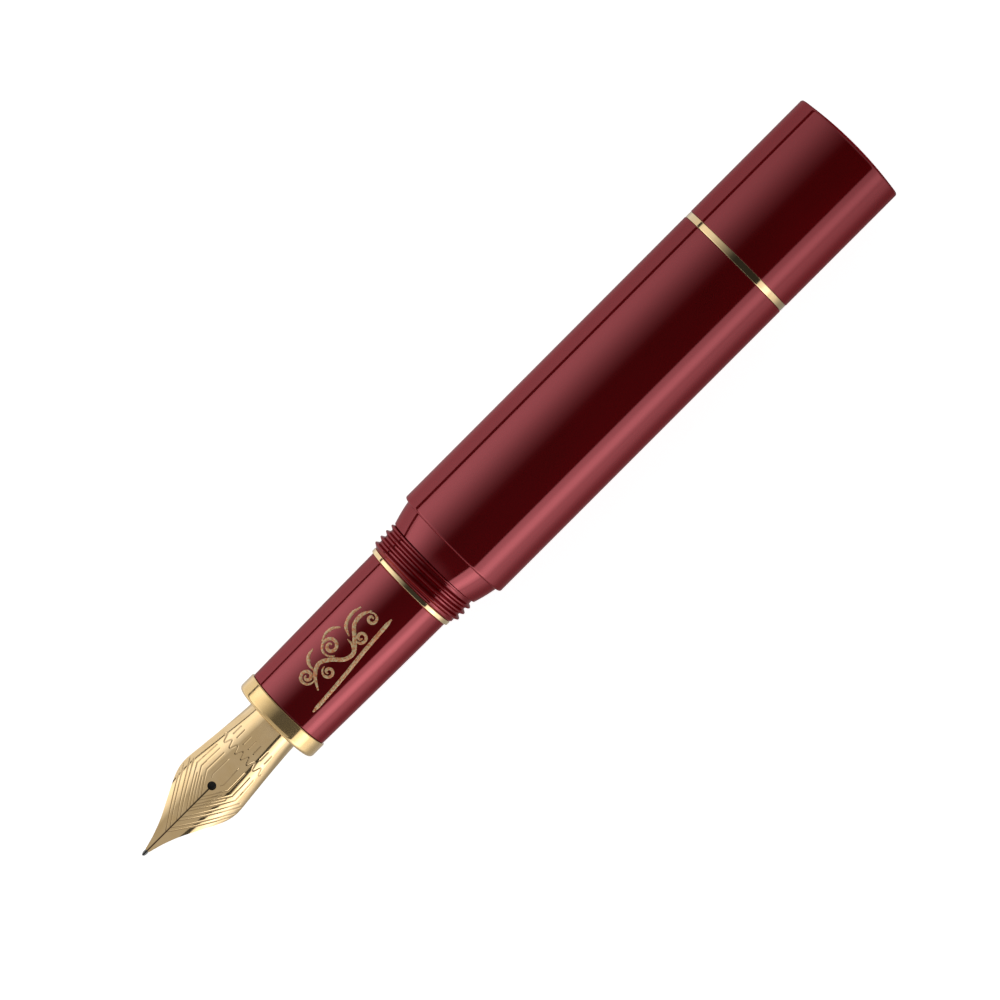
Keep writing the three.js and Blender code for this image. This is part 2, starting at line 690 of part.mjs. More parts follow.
function addSleeve() {
  const seal = sealIn(SLEEVE_SOCKET_RADIUS);
  const sealPlace = SLEEVE_FRONT + 2.2;
  const tunnelFront = SLEEVE_FRONT + SLEEVE_FRONT_WALL;
  const body = turned([
    [SLEEVE_FRONT, 0],
    [SLEEVE_FRONT, SLEEVE_RADIUS],
    ...groove(sealPlace, SLEEVE_RADIUS, seal.bottom),
    [TAIL_FRONT - RUN, SLEEVE_RADIUS],
    [TAIL_FRONT - RUN, NECK_RADIUS],
    [SLEEVE_BACK, NECK_RADIUS],
    [SLEEVE_BACK, COLLAR_BORE],
    [COLLAR_SEAT, COLLAR_BORE],
    [COLLAR_SEAT, ROD_TUNNEL_RADIUS],
    [tunnelFront, ROD_TUNNEL_RADIUS],
    [tunnelFront, 0],
  ]);
  const round = turned([
    [SLEEVE_FRONT - 1, 0],
    [SLEEVE_FRONT - 1, ROD_RADIUS + RUN],
    [tunnelFront + 1, ROD_RADIUS + RUN],
    [tunnelFront + 1, 0],
  ], INNER_FACETS);
  const flat = ROD_FLAT + RUN;
  const side = ROD_RADIUS + 1;
  const between = block([SLEEVE_FRONT - 2, -side, -flat], [tunnelFront + 2, side, flat]);
  const guideHole = solid(round).intersect(solid(between));
  addPiece('mechanism_sleeve', geometryOf(solid(body).subtract(guideHole)), BRASS);
  addPiece('sleeve_o_ring', rubberRing(sealPlace, seal.centre), RUBBER);
}

/** Hexagonal bar along the pen. */
function hexBar(front, back, radius) {
  const bar = new THREE.CylinderGeometry(radius, radius, back - front, 6);
  return bar.rotateZ(-Math.PI / 2).translate((front + back) / 2, 0, 0);
}

function addSpindle() {
  const core = turned([
    [SPINDLE_FRONT, 0],
    [SPINDLE_FRONT, SPINDLE_CORE_RADIUS],
    [COLLAR_FRONT, SPINDLE_CORE_RADIUS],
    [COLLAR_FRONT, COLLAR_RADIUS],
    [COLLAR_FRONT + COLLAR_LENGTH, COLLAR_RADIUS],
    [COLLAR_FRONT + COLLAR_LENGTH, 0],
  ], INNER_FACETS);
  const hexFront = COLLAR_FRONT + COLLAR_LENGTH / 2;
  let spindle = solid(core).add(solid(hexBar(hexFront, KNOB_INSIDE - END_PLAY, HEX_RADIUS)));
  const ridgeLength = COLLAR_FRONT - SPINDLE_FRONT - 2 * SPINDLE_RIDGE_WIDTH;
  for (let i = 0; i < SPINDLE_STARTS; i += 1) {
    const ridge = threadRidge({
      start: SPINDLE_FRONT + SPINDLE_RIDGE_WIDTH,
      turns: ridgeLength / SPINDLE_LEAD,
      lead: SPINDLE_LEAD,
      root: SPINDLE_CORE_RADIUS,
      crest: SPINDLE_CREST_RADIUS,
      rootWidth: SPINDLE_RIDGE_WIDTH,
      crestWidth: SPINDLE_RIDGE_WIDTH / 2,
      turnBy: i * 2 * Math.PI / SPINDLE_STARTS,
      facets: INNER_FACETS,
    });
    spindle = spindle.add(solid(ridge));
  }
  addPiece('spindle', geometryOf(spindle), BRASS);
}

/** A plain flat ring. */
function plainRing(front, back, bore, radius) {
  return turnedRing([[front, bore], [front, radius], [back, radius], [back, bore]], INNER_FACETS);
}

function addSpindleRetainers() {
  const bore = BOSS_RADIUS + END_PLAY;
  const washerBack = WASHER_FRONT + WASHER_LENGTH;
  const retainerBack = RETAINER_FRONT + RETAINER_LENGTH;
  addPiece('thrust_washer', plainRing(WASHER_FRONT, washerBack, bore, COLLAR_RADIUS), NYLON);
  addPiece('spindle_retainer', plainRing(RETAINER_FRONT, retainerBack, bore, COLLAR_RADIUS), BRASS);
}

// ---------------------------------------------------------------- tail ring and knob

function addTailRing() {
  const back = KNOB_FRONT - SEAM;
  const radius = BARREL_RADIUS - SEAM;
  addPiece('tail_ring', turnedRing([
    [TAIL_FRONT, NECK_RADIUS + FIT],
    [TAIL_FRONT, radius - RING_BREAK / 2],
    [TAIL_FRONT + RING_BREAK / 2, radius],
    [back - RING_BREAK / 2, radius],
    [back, radius - RING_BREAK / 2],
    [back, NECK_RADIUS + FIT],
  ]), GOLD);
}

function addKnob() {
  const edge = KNOB_EDGE;
  const domeSteps = 4;
  const flatRadius = BARREL_RADIUS - edge;
  const dome = [];
  for (let i = 1; i <= domeSteps; i += 1) {
    const share = 1 - i / domeSteps;
    dome.push([KNOB_RIM + KNOB_DOME * (1 - share ** 2), flatRadius * share]);
  }
  addPiece('knob', turned([
    [KNOB_INSIDE, 0],
    [KNOB_INSIDE, KNOB_BORE],
    [KNOB_FRONT + RUN, KNOB_BORE],
    [KNOB_FRONT + RUN, BARREL_RADIUS - RING_BREAK],
    [KNOB_FRONT + RUN + RING_BREAK, BARREL_RADIUS],
    ...arc(KNOB_RIM - edge, flatRadius, edge, 90, 0),
    ...dome,
  ]), RESIN);
}

/** The brass lining of the knob. Its boss slides on the spindle's hexagon as the knob rises. */
function addKnobInsert() {
  const bossFront = KNOB_INSIDE - END_PLAY - HEX_GRIP - KNOB_LIFT;
  const back = KNOB_INSIDE - SEAM;
  const lining = turned([
    [bossFront, 0],
    [bossFront, BOSS_RADIUS],
    [INSERT_WALL_FRONT, BOSS_RADIUS],
    [INSERT_WALL_FRONT, INSERT_BORE],
    [KNOB_FRONT + END_PLAY, INSERT_BORE],
    [KNOB_FRONT + END_PLAY, INSERT_RADIUS],
    [back, INSERT_RADIUS],
    [back, 0],
  ]);
  const socket = hexBar(bossFront - 1, back + 1, HEX_RADIUS + RUN);
  addPiece('knob_insert', geometryOf(solid(lining).subtract(solid(socket))), BRASS);
}

// ---------------------------------------------------------------- assembly

addNib();
addTipping();
addFeed();
addNibHousing();
addFrontRing();
addSection();
addTrimRing();
addBarrel();
addPiston();
addSleeve();
addSpindle();
addSpindleRetainers();
addTailRing();
addKnob();
addKnobInsert();

const model = new THREE.Group();
model.add(pen);

export default model;
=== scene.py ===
import math

import bmesh
import bpy
import numpy as np
from mathutils import Matrix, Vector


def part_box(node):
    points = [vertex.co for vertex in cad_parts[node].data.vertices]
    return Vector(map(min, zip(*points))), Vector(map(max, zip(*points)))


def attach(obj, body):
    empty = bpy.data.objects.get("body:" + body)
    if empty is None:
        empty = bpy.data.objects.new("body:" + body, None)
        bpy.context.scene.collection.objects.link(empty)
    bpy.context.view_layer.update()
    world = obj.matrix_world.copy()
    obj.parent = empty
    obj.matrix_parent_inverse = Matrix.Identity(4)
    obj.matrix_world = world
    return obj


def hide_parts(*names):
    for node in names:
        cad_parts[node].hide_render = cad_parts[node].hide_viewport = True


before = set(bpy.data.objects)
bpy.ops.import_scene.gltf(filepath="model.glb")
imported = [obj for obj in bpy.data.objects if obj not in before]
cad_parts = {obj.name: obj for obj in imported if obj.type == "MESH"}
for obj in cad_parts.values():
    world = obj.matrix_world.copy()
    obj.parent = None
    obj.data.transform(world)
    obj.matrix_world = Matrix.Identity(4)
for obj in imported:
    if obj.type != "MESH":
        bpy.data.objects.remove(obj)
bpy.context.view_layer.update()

# ---------------------------------------------------------------- camera
# A long lens square above the pen, standing a little towards the knob, and rolled so that the
# pen runs from the lower left corner to the upper right one. Lengths are in millimetres here and
# in every section below, and are turned into the frame's metres as they are used.
MM = 0.001
BARREL_LOW, BARREL_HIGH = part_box("barrel")
AXIS_Z = (BARREL_LOW.z + BARREL_HIGH.z) / 2
AXIS_MM = AXIS_Z / MM
CAMERA_HEIGHT = 592.0
CAMERA_X = 26.95
AIM_X, AIM_Y = 0.358, -0.24
SENSOR_WIDTH = 36.0
LENS = 180.45
ROLL = math.radians(-45.053)
NEAREST, FURTHEST = 0.02, 20.0

bpy.ops.object.select_all(action="DESELECT")
tilt = math.atan2(CAMERA_X - AIM_X, CAMERA_HEIGHT)
pose = Matrix.Rotation(tilt, 3, "Y") @ Matrix.Rotation(ROLL, 3, "Z")
bpy.ops.object.camera_add(
    location=(CAMERA_X * MM, AIM_Y * MM, AXIS_Z + CAMERA_HEIGHT * MM), rotation=pose.to_euler()
)
camera = bpy.context.object
camera.data.sensor_width = SENSOR_WIDTH
camera.data.lens = LENS
camera.data.clip_start = NEAREST
camera.data.clip_end = FURTHEST
bpy.context.scene.camera = camera
bpy.context.scene.view_settings.view_transform = "Standard"


# ---------------------------------------------------------------- studio
# The pen lies on a light table of white acrylic, inside a tent with a tall bright panel on its
# -Y side, a wider and softer one on its +Y side, and a dark roof. The tent is the sky itself, so
# nothing stands between the pen and a camera at any side.
def node_tree_of(holder):
    holder.use_nodes = True
    return holder.node_tree


def add_node(tree, kind, inputs=None, **settings):
    node = tree.nodes.new(kind)
    for key, value in settings.items():
        setattr(node, key, value)
    for key, value in (inputs or {}).items():
        if hasattr(value, "is_output"):
            tree.links.new(value, node.inputs[key])
        else:
            node.inputs[key].default_value = value
    return node


def mixed(tree, share, first, second):
    """The first colour turned into the second by the share."""
    return add_node(
        tree, "ShaderNodeMix", {"Factor": share, "A": first, "B": second}, data_type="RGBA"
    ).outputs["Result"]


def ramped(tree, value, stops):
    """The value turned into a colour by (place, colour) stops, in order."""
    node = add_node(tree, "ShaderNodeValToRGB", {0: value})
    elements = node.color_ramp.elements
    while len(elements) < len(stops):
        elements.new(0.5)
    for element, (place, _) in zip(elements, stops):
        element.position = place
    for element, (_, colour) in zip(elements, stops):
        element.color = colour
    return node.outputs[0]


def grey(value):
    return (value, value, value, 1)


# How bright the tent is at each angle from straight up, in degrees; minus is the -Y side.
TENT = [
    (-180, 0.4), (-92, 0.4), (-90, 1.2), (-86, 1.5), (-80, 1.93), (-73, 1.85), (-66, 1.3),
    (-60, 1.18), (-56.5, 1.05), (-54.8, 0.03), (-30, 0.03), (-8, 0.03), (3, 0.03), (11, 0.06),
    (23, 0.22), (35, 0.42), (47, 0.66), (60, 0.93), (75, 1.12), (86, 1.15), (90, 1.1), (92, 0.4),
]
TENT_TOP = 2.0
# Along the pen it dims from the nib's side to the knob's: the direction's X, and the strength.
TENT_NIB_SIDE, TENT_KNOB_SIDE = (-0.10, 1.36), (0.055, 0.62)
# Its two ends are plain sheets of one brightness, which the panels run into between these.
TENT_END = 0.2
END_FROM, END_TO = 0.5, 0.85
world = bpy.data.worlds.new("light_tent")
bpy.context.scene.world = world
tree = node_tree_of(world)
tree.nodes.clear()
towards = add_node(tree, "ShaderNodeTexCoord").outputs["Generated"]
parts = add_node(tree, "ShaderNodeSeparateXYZ", {0: towards}).outputs
angle = add_node(tree, "ShaderNodeMath", {0: parts["Y"], 1: parts["Z"]}, operation="ARCTAN2")
place = add_node(tree, "ShaderNodeMapRange", {0: angle.outputs[0], 1: -math.pi, 2: math.pi})
across = ramped(
    tree, place.outputs[0], [((a + 180) / 360, grey(value / TENT_TOP)) for a, value in TENT]
)
along = add_node(tree, "ShaderNodeMapRange", {
    0: parts["X"], 1: TENT_NIB_SIDE[0], 2: TENT_KNOB_SIDE[0],
    3: TENT_NIB_SIDE[1], 4: TENT_KNOB_SIDE[1],
})
strength = add_node(
    tree, "ShaderNodeMath", {0: along.outputs[0], 1: TENT_TOP}, operation="MULTIPLY"
)
off_side = add_node(tree, "ShaderNodeMath", {0: parts["X"]}, operation="ABSOLUTE")
at_end = add_node(
    tree, "ShaderNodeMapRange", {0: off_side.outputs[0], 1: END_FROM, 2: END_TO},
    interpolation_type="SMOOTHSTEP",
)
tent_light = add_node(tree, "ShaderNodeBackground", {
    "Color": mixed(tree, at_end.outputs[0], across, grey(TENT_END)),
    "Strength": strength.outputs[0],
})
add_node(tree, "ShaderNodeOutputWorld", {0: tent_light.outputs[0]})

# The white top is what the camera sees; the pen is lit by the dimmer diffuser under it. For each:
# whiteness, glow and height.
TABLE_SIZE = 6.0
TABLE = [("table_top", 0.9, 0.84, 0.0), ("table_diffuser", 0.0, 1.0, -0.02)]
# The diffuser glows in bands along the pen: how bright it is at each Y, and how much brighter it
# is at the nib's side than at the knob's, with the X of both. The glow dims near the pen and most
# of all under it, a painted shadow of the pen on the floor.
GLOW_BANDS_WITH_PAINTED_SHADOW = [
    (-400, 1.05), (-100, 1.05), (-44, 0.87), (-31, 0.6), (-21, 0.34), (-15, 0.28), (-9, 0.35),
    (9, 0.45), (15, 0.8), (21, 0.74), (62, 0.8), (68, 0.03), (140, 0.03), (155, 1.0),
]
BANDS_REACH = 400.0
GLOW_NIB_SIDE, GLOW_KNOB_SIDE = (-35.0, 1.25), (55.0, 0.8)
tables = []
for name, white, glow, height in TABLE:
    bpy.ops.mesh.primitive_plane_add(size=TABLE_SIZE, location=(0, 0, height * MM))
    table = bpy.context.object
    bpy.ops.object.transform_apply(location=True)
    table.name = name
    acrylic = bpy.data.materials.new(name)
    tree = node_tree_of(acrylic)
    shader = tree.nodes["Principled BSDF"].inputs
    shader["Base Color"].default_value = grey(white)
    shader["Roughness"].default_value = 1.0
    shader["Specular IOR Level"].default_value = 0.0
    shader["Emission Color"].default_value = (1, 1, 1, 1)
    shader["Emission Strength"].default_value = glow
    if name == "table_diffuser":
        place = add_node(tree, "ShaderNodeTexCoord").outputs["Object"]
        far = add_node(tree, "ShaderNodeSeparateXYZ", {0: place}).outputs
        share = add_node(tree, "ShaderNodeMapRange", {
            0: far["Y"], 1: -BANDS_REACH * MM, 2: BANDS_REACH * MM,
        }).outputs[0]
        # Painted shadow: the bands dim the glow around Y = 0, under the pen.
        glow_with_painted_shadow = ramped(
            tree, share, [((y / BANDS_REACH + 1) / 2, grey(value)) for y, value in GLOW_BANDS_WITH_PAINTED_SHADOW]
        )
        tree.links.new(glow_with_painted_shadow, shader["Emission Color"])
        fade = add_node(tree, "ShaderNodeMapRange", {
            0: far["X"], 1: GLOW_NIB_SIDE[0] * MM, 2: GLOW_KNOB_SIDE[0] * MM,
            3: GLOW_NIB_SIDE[1], 4: GLOW_KNOB_SIDE[1],
        })
        tree.links.new(fade.outputs[0], shader["Emission Strength"])
    table.data.materials.append(acrylic)
    tables.append(table)
tables[0].visible_diffuse = tables[0].visible_glossy = tables[0].visible_shadow = False
tables[0].visible_transmission = False
tables[1].visible_camera = False

# A pale card hangs over the nib, and a dark red one lies behind the knob's end. They are clear of
# the lens, and show only in what mirrors them: low and high corners, height over the table,
# colour and glow.
CARDS = [
    ("nib_card", (-84.0, -23.5), (-40.2, 16.5), 32.87, (1, 0.97, 0.92, 1), 0.5),
    ("end_card", (60.2, -9.5), (76.0, 9.5), -0.01, (1, 0.06, 0.09, 1), 0.17),
]
for name, card_low, card_high, height, colour, glow in CARDS:
    bpy.ops.mesh.primitive_plane_add(size=1)
    card = bpy.context.object
    card.name = name
    for point in card.data.vertices:
        end_x = card_high[0] if point.co.x > 0 else card_low[0]
        end_y = card_high[1] if point.co.y > 0 else card_low[1]
        point.co = (end_x * MM, end_y * MM, height * MM)
    paper = bpy.data.materials.new(name)
    shader = node_tree_of(paper).nodes["Principled BSDF"].inputs
    shader["Base Color"].default_value = (0, 0, 0, 1)
    shader["Specular IOR Level"].default_value = 0.0
    shader["Emission Color"].default_value = colour
    shader["Emission Strength"].default_value = glow
    card.data.materials.append(paper)
    card.visible_camera = card.visible_diffuse = card.visible_shadow = False


# ---------------------------------------------------------------- nib housing
# The black ebonite collar that grips the nib and feed and screws into the section. It is turned
# from rod, and its flange stops on the section inside the gold collar.
SIDES = 176
WELD = 2e-6
TURNED_SMOOTH = math.radians(32)


def turn(name, profile, sides=SIDES):
    """Works a ring along the pen, station by station. The profile is (x, radius) pairs that go
    round the wall's section; a radius of 0 closes the end to a point."""
    bpy.ops.object.select_all(action="DESELECT")
    x, radius = profile[0]
    bpy.ops.mesh.primitive_circle_add(
        vertices=sides, radius=radius * MM, location=(x * MM, 0, AXIS_Z),
        rotation=(0, math.pi / 2, 0), enter_editmode=True,
    )
    bpy.ops.mesh.select_all(action="SELECT")
    for next_x, next_radius in profile[1:]:
        bpy.ops.mesh.extrude_region_move(
            TRANSFORM_OT_translate={"value": ((next_x - x) * MM, 0, 0)}
        )
        if next_radius == 0:
            bpy.ops.mesh.merge(type="CENTER")
            break
        share = next_radius / radius
        if next_radius != radius:
            bpy.ops.transform.resize(
                value=(1, share, share), center_override=(next_x * MM, 0, AXIS_Z)
            )
        x, radius = next_x, next_radius
    bpy.ops.mesh.select_all(action="SELECT")
    bpy.ops.mesh.remove_doubles(threshold=WELD)
    bpy.ops.mesh.fill_holes(sides=0)
    bpy.ops.mesh.select_all(action="SELECT")
    bpy.ops.mesh.normals_make_consistent(inside=False)
    bpy.ops.object.mode_set(mode="OBJECT")
    piece = bpy.context.object
    piece.name = piece.data.name = name
    bpy.ops.object.transform_apply(location=True, rotation=True, scale=True)
    bpy.ops.object.shade_smooth_by_angle(angle=TURNED_SMOOTH)
    return piece


CORNER_SUPPORT = 0.04


def corner(x, radius, size, start, steps=4):
    """Stations round a corner of the given size, from the start angle through a quarter turn
    backwards: 180 is a front corner, 90 a back one. One more station beside the corner keeps the
    wall next to it straight."""
    angles = [math.radians(start - 90 * i / steps) for i in range(steps + 1)]
    stations = [(x + size * math.cos(a), radius + size * math.sin(a)) for a in angles]
    if start == 180:
        return stations + [(x + CORNER_SUPPORT, radius + size)]
    return [(x - CORNER_SUPPORT, radius + size)] + stations


HOUSING_BORE = 3.64
HOUSING_RADIUS = 4.39
FLANGE_RADIUS = 4.94
FLANGE_LENGTH = 0.8
HOUSING_EDGE = 0.1
low, high = (corner_point / MM for corner_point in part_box("nib_housing"))
flange_back = low.x + FLANGE_LENGTH
housing = turn("housing_collar", [
    (high.x, HOUSING_BORE),
    (low.x + HOUSING_EDGE, HOUSING_BORE),
    (low.x, HOUSING_BORE + HOUSING_EDGE),
    *corner(low.x + HOUSING_EDGE, FLANGE_RADIUS - HOUSING_EDGE, HOUSING_EDGE, 180),
    (flange_back, FLANGE_RADIUS),
    (flange_back, HOUSING_RADIUS),
    (high.x, HOUSING_RADIUS),
    (high.x, HOUSING_BORE),
])


def new_finish(name, colour, roughness, metallic=0.0, ior=1.5, tint=(1, 1, 1)):
    """A material whose whole-surface numbers sit on the shader's own sockets."""
    material = bpy.data.materials.new(name)
    tree = node_tree_of(material)
    shader = tree.nodes["Principled BSDF"]
    shader.inputs["Base Color"].default_value = (*colour, 1)
    shader.inputs["Roughness"].default_value = roughness
    shader.inputs["Metallic"].default_value = metallic
    shader.inputs["IOR"].default_value = ior
    shader.inputs["Specular Tint"].default_value = (*tint, 1)
    place = add_node(tree, "ShaderNodeTexCoord").outputs["Object"]
    return material, tree, shader, place


def grain(tree, place, scale, stretch=(1, 1, 1), detail=4, roughness=0.55):
    """Noise on the piece's own coordinates, with scale in lumps per metre."""
    spread = add_node(tree, "ShaderNodeMapping", {"Vector": place, "Scale": stretch})
    return add_node(tree, "ShaderNodeTexNoise", {
        "Vector": spread.outputs[0], "Scale": scale, "Detail": detail, "Roughness": roughness,
    }).outputs["Fac"]


def between(tree, value, low, high, from_low=0.3, from_high=0.7):
    """The value spread over a new range, kept inside it."""
    return add_node(tree, "ShaderNodeMapRange", {
        0: value, 1: from_low, 2: from_high, 3: low, 4: high,
    }).outputs[0]


def toned(tree, value, dark, light, low=0.3, high=0.7):
    """The value turned into a tone between the dark and the light."""
    return ramped(tree, value, [(low, (*dark, 1)), (high, (*light, 1))])


def bumped(tree, shader, height, depth, strength):
    """Raises the surface by the height, with depth in metres."""
    bump = add_node(tree, "ShaderNodeBump", {
        "Height": height, "Distance": depth, "Strength": strength,
    })
    tree.links.new(bump.outputs[0], shader.inputs["Normal"])


ebonite, tree, shader, place = new_finish("satin_ebonite", (0.012, 0.012, 0.013), 0.34)
cloud = grain(tree, place, 900)
tree.links.new(toned(tree, cloud, (0.008, 0.008, 0.009), (0.02, 0.019, 0.018)),
               shader.inputs["Base Color"])
tree.links.new(between(tree, grain(tree, place, 2600), 0.26, 0.46), shader.inputs["Roughness"])
bumped(tree, shader, grain(tree, place, 9000, (1, 1, 1), 2), 4e-6, 0.5)
housing.data.materials.append(ebonite)
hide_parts("nib_housing")
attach(housing, "pen_body")


# ---------------------------------------------------------------- feed
# The finned ink carrier under the nib, milled from black ebonite rod, with the ink channel in its
# top. It is pressed into the housing together with the nib, and its milling marks still show.
def refinish(node, material):
    """Gives a piece that keeps its frame shape a finish of its own."""
    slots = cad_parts[node].data.materials
    slots.clear()
    slots.append(material)


milled, tree, shader, place = new_finish("milled_ebonite", (0.011, 0.011, 0.012), 0.4)
tree.links.new(toned(tree, grain(tree, place, 1400), (0.007, 0.007, 0.008), (0.02, 0.02, 0.021)),
               shader.inputs["Base Color"])
tree.links.new(between(tree, grain(tree, place, 3000, (1, 8, 8)), 0.3, 0.55),
               shader.inputs["Roughness"])
bumped(tree, shader, grain(tree, place, 2500, (1, 10, 10), 3), 6e-6, 0.5)
refinish("feed", milled)


# ---------------------------------------------------------------- nib
# A sheet of gold alloy, pressed into a roll, slit from the tip to the breather hole and engraved
# with chevrons that turn along the pen, a wave across it and short dashes. It is gripped
# between the feed and the housing, and its tines spring a little when the pen writes.
NIB_SHEET = 0.35
NIB_FRONT = 0.86
ENGRAVED_FROM, ENGRAVED_TO = 3.8, 19.7
HIDDEN_FROM = 22.5
NIB_SMOOTH = math.radians(58)
BREATHER_PLACE = 12.05
BREATHER_RADIUS = 0.54
SLIT_FRONT = 5.0
SLIT_AT_HOLE = 0.13
SLIT_AT_FRONT = 0.03
SLIT_AT_TIP = 0.016
# The painted shade along the slit: its half width, and the share of it at full dark.
SLIT_SHADE_HALF = 0.11
SLIT_SHADE_CORE = 1.2
SLIT_DIP = 0.02
NIB_COLUMNS = 132
LINE_DEPTH = 0.055
LINE_HALF = 0.08
EDGE_MARGIN = 0.4
BAND_PLACE = 17.15
BAND_HALF = 0.45
BAND_WAVE = 0.95
BAND_SPAN = 3.25
BAND_STEPS = 75
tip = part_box("tipping_left")[0].x / MM
nib_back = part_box("nib")[1].x / MM - tip


def through(points):
    """A smooth curve through (place, value) points."""
    at, value = np.array(points, float).T
    slope = np.gradient(value, at)
    slope[1:-1] = (value[2:] - value[:-2]) / (at[2:] - at[:-2])

    def curve(places):
        i = np.clip(np.searchsorted(at, places) - 1, 0, len(at) - 2)
        span = at[i + 1] - at[i]
        t = np.clip((places - at[i]) / span, 0, 1)
        return (
            (1 + 2 * t) * (1 - t) ** 2 * value[i] + t * (1 - t) ** 2 * span * slope[i]
            + t * t * (3 - 2 * t) * value[i + 1] + t * t * (t - 1) * span * slope[i + 1]
        )
    return curve


# The sheet's half width, the height of its ridge over the pen's axis and the radius it is rolled
# to, at places measured backwards from the tip.
half_width_at = through([
    (0.8, 0.28), (0.93, 0.31), (2.8, 0.82), (4.9, 1.61), (7.3, 2.82), (9.6, 3.99), (10.6, 4.32),
    (11.75, 4.45), (14.5, 4.2), (18, 3.86), (22.3, 3.58), (34, 3.58),
])
top_at = through([(0.8, 0.98), (0.93, 1.0), (5, 2.05), (9, 2.95), (11.75, 3.28), (22.3, 3.58),
                  (34, 3.58)])
roll_at = through([(0.8, 2.0), (0.93, 2.1), (3, 3.9), (5.5, 4.75), (8, 4.95), (11.75, 5.05),
                   (16, 4.45), (22.3, 3.58), (34, 3.58)])

# Each engraved line is (place, distance from the slit) points, and is cut on both tines.
chevrons = [
    [(4.2, 0.1), (10.9, 4.4)], [(4.95, 0.1), (11.6, 4.4)],
    [(6.1, 0.1), (12.6, 4.35)], [(6.75, 0.1), (12.7, 3.85)],
    [(7.8, 0.1), (12.7, 3.2), (15.85, 3.05)], [(8.4, 0.1), (11.9, 2.3)],
    [(9.0, 0.1), (12.85, 2.55), (15.85, 2.45)], [(9.7, 0.1), (12.0, 1.6)],
    [(10.3, 0.1), (12.95, 1.78), (15.85, 1.72)],
    [(12.75, 0.72), (13.1, 0.92), (15.85, 0.86)],
]
dashes = [[(18.2, y), (19.5, y)] for y in (0.0, 0.85, 1.9, 2.55)]
lines = [[(s, side * y) for s, y in line] for line in chevrons + dashes for side in (1, -1)]
wave_steps = [BAND_SPAN * i / BAND_STEPS for i in range(-BAND_STEPS, BAND_STEPS + 1)]
lines.append([
    (BAND_PLACE + BAND_HALF * math.sin(2 * math.pi * y / BAND_WAVE), y) for y in wave_steps
])


def eased(share):
    share = np.clip(share, 0, 1)
    return share * share * (3 - 2 * share)


def engraving(s, y):
    """How deep the graver went at each place, from 0 to 1."""
    nearest = np.full(len(s), np.inf)
    for line in lines:
        for (s0, y0), (s1, y1) in zip(line, line[1:]):
            ds, dy = s1 - s0, y1 - y0
            t = np.clip(((s - s0) * ds + (y - y0) * dy) / (ds * ds + dy * dy), 0, 1)
            nearest = np.minimum(nearest, np.hypot(s - s0 - t * ds, y - y0 - t * dy))
    off_edge = half_width_at(s) - abs(y)
    return eased(1 - nearest / LINE_HALF) * eased(off_edge / EDGE_MARGIN)


def slit_shade(s, y):
    """Painted shade along the slit, where the two tines meet, from 0 to 1; it also sets the slit's
    small dip.
    """
    return np.where(s < BREATHER_PLACE, eased(SLIT_SHADE_CORE - abs(y) / SLIT_SHADE_HALF), 0)


def points_of(piece):
    found = np.empty(len(piece.data.vertices) * 3)
    piece.data.vertices.foreach_get("co", found)
    return found.reshape(-1, 3)


def set_points(piece, places):
    piece.data.vertices.foreach_set("co", places.ravel())
    piece.data.update()


# Rows across the sheet lie close together where it is engraved.
rows = np.concatenate([
    np.linspace(NIB_FRONT, ENGRAVED_FROM, 27, endpoint=False),
    np.linspace(ENGRAVED_FROM, ENGRAVED_TO, 258, endpoint=False),
    np.linspace(ENGRAVED_TO, HIDDEN_FROM, 22, endpoint=False),
    np.linspace(HIDDEN_FROM, nib_back, 6),
])
bpy.ops.object.select_all(action="DESELECT")
bpy.ops.mesh.primitive_grid_add(x_subdivisions=len(rows) - 1, y_subdivisions=NIB_COLUMNS, size=1)
nib = bpy.context.object
nib.name = nib.data.name = "engraved_nib"
flat = points_of(nib)
s = rows[np.round((flat[:, 0] + 0.5) * (len(rows) - 1)).astype(int)]
roll = roll_at(s)
lean = 2 * flat[:, 1] * np.arcsin(np.clip(half_width_at(s) / roll, 0, 1))
across_nib = roll * np.sin(lean)
sunk = LINE_DEPTH * engraving(s, across_nib) + SLIT_DIP * slit_shade(s, across_nib)
set_points(nib, np.column_stack([
    (tip + s) * MM,
    (roll - sunk) * np.sin(lean) * MM,
    (AXIS_MM + top_at(s) - roll + (roll - sunk) * np.cos(lean)) * MM,
]))
sheet = nib.modifiers.new("sheet", "SOLIDIFY")
sheet.thickness = NIB_SHEET * MM
sheet.offset = -1
bpy.ops.object.modifier_apply(modifier="sheet")


def cut_away(piece, cutter):
    """Takes the cutter's shape out of the piece, and clears the cutter away."""
    bpy.ops.object.select_all(action="DESELECT")
    bpy.context.view_layer.objects.active = piece
    piece.select_set(True)
    boolean = piece.modifiers.new("cut", "BOOLEAN")
    boolean.operation = "DIFFERENCE"
    boolean.solver = "MANIFOLD"
    boolean.object = cutter
    bpy.ops.object.modifier_apply(modifier="cut")
    bpy.data.objects.remove(cutter)


# A round punch makes the breather hole, and a saw that widens backwards the slit.
PUNCH_LENGTH, PUNCH_HEIGHT = 4.0, 3.3
SAW_DEPTH, SAW_HEIGHT = 6.0, 2.0
bpy.ops.mesh.primitive_cylinder_add(
    vertices=64, radius=BREATHER_RADIUS * MM, depth=PUNCH_LENGTH * MM,
    location=((tip + BREATHER_PLACE) * MM, 0, AXIS_Z + PUNCH_HEIGHT * MM),
)
cut_away(nib, bpy.context.object)
slit_length = BREATHER_PLACE - SLIT_FRONT
bpy.ops.mesh.primitive_cube_add(
    size=1, location=((tip + SLIT_FRONT + slit_length / 2) * MM, 0, AXIS_Z + SAW_HEIGHT * MM),
    scale=(slit_length * MM, SLIT_AT_HOLE * MM, SAW_DEPTH * MM),
)
saw = bpy.context.object
for saw_point in saw.data.vertices:
    if saw_point.co.x < 0:
        saw_point.co.y *= SLIT_AT_FRONT / SLIT_AT_HOLE
cut_away(nib, saw)

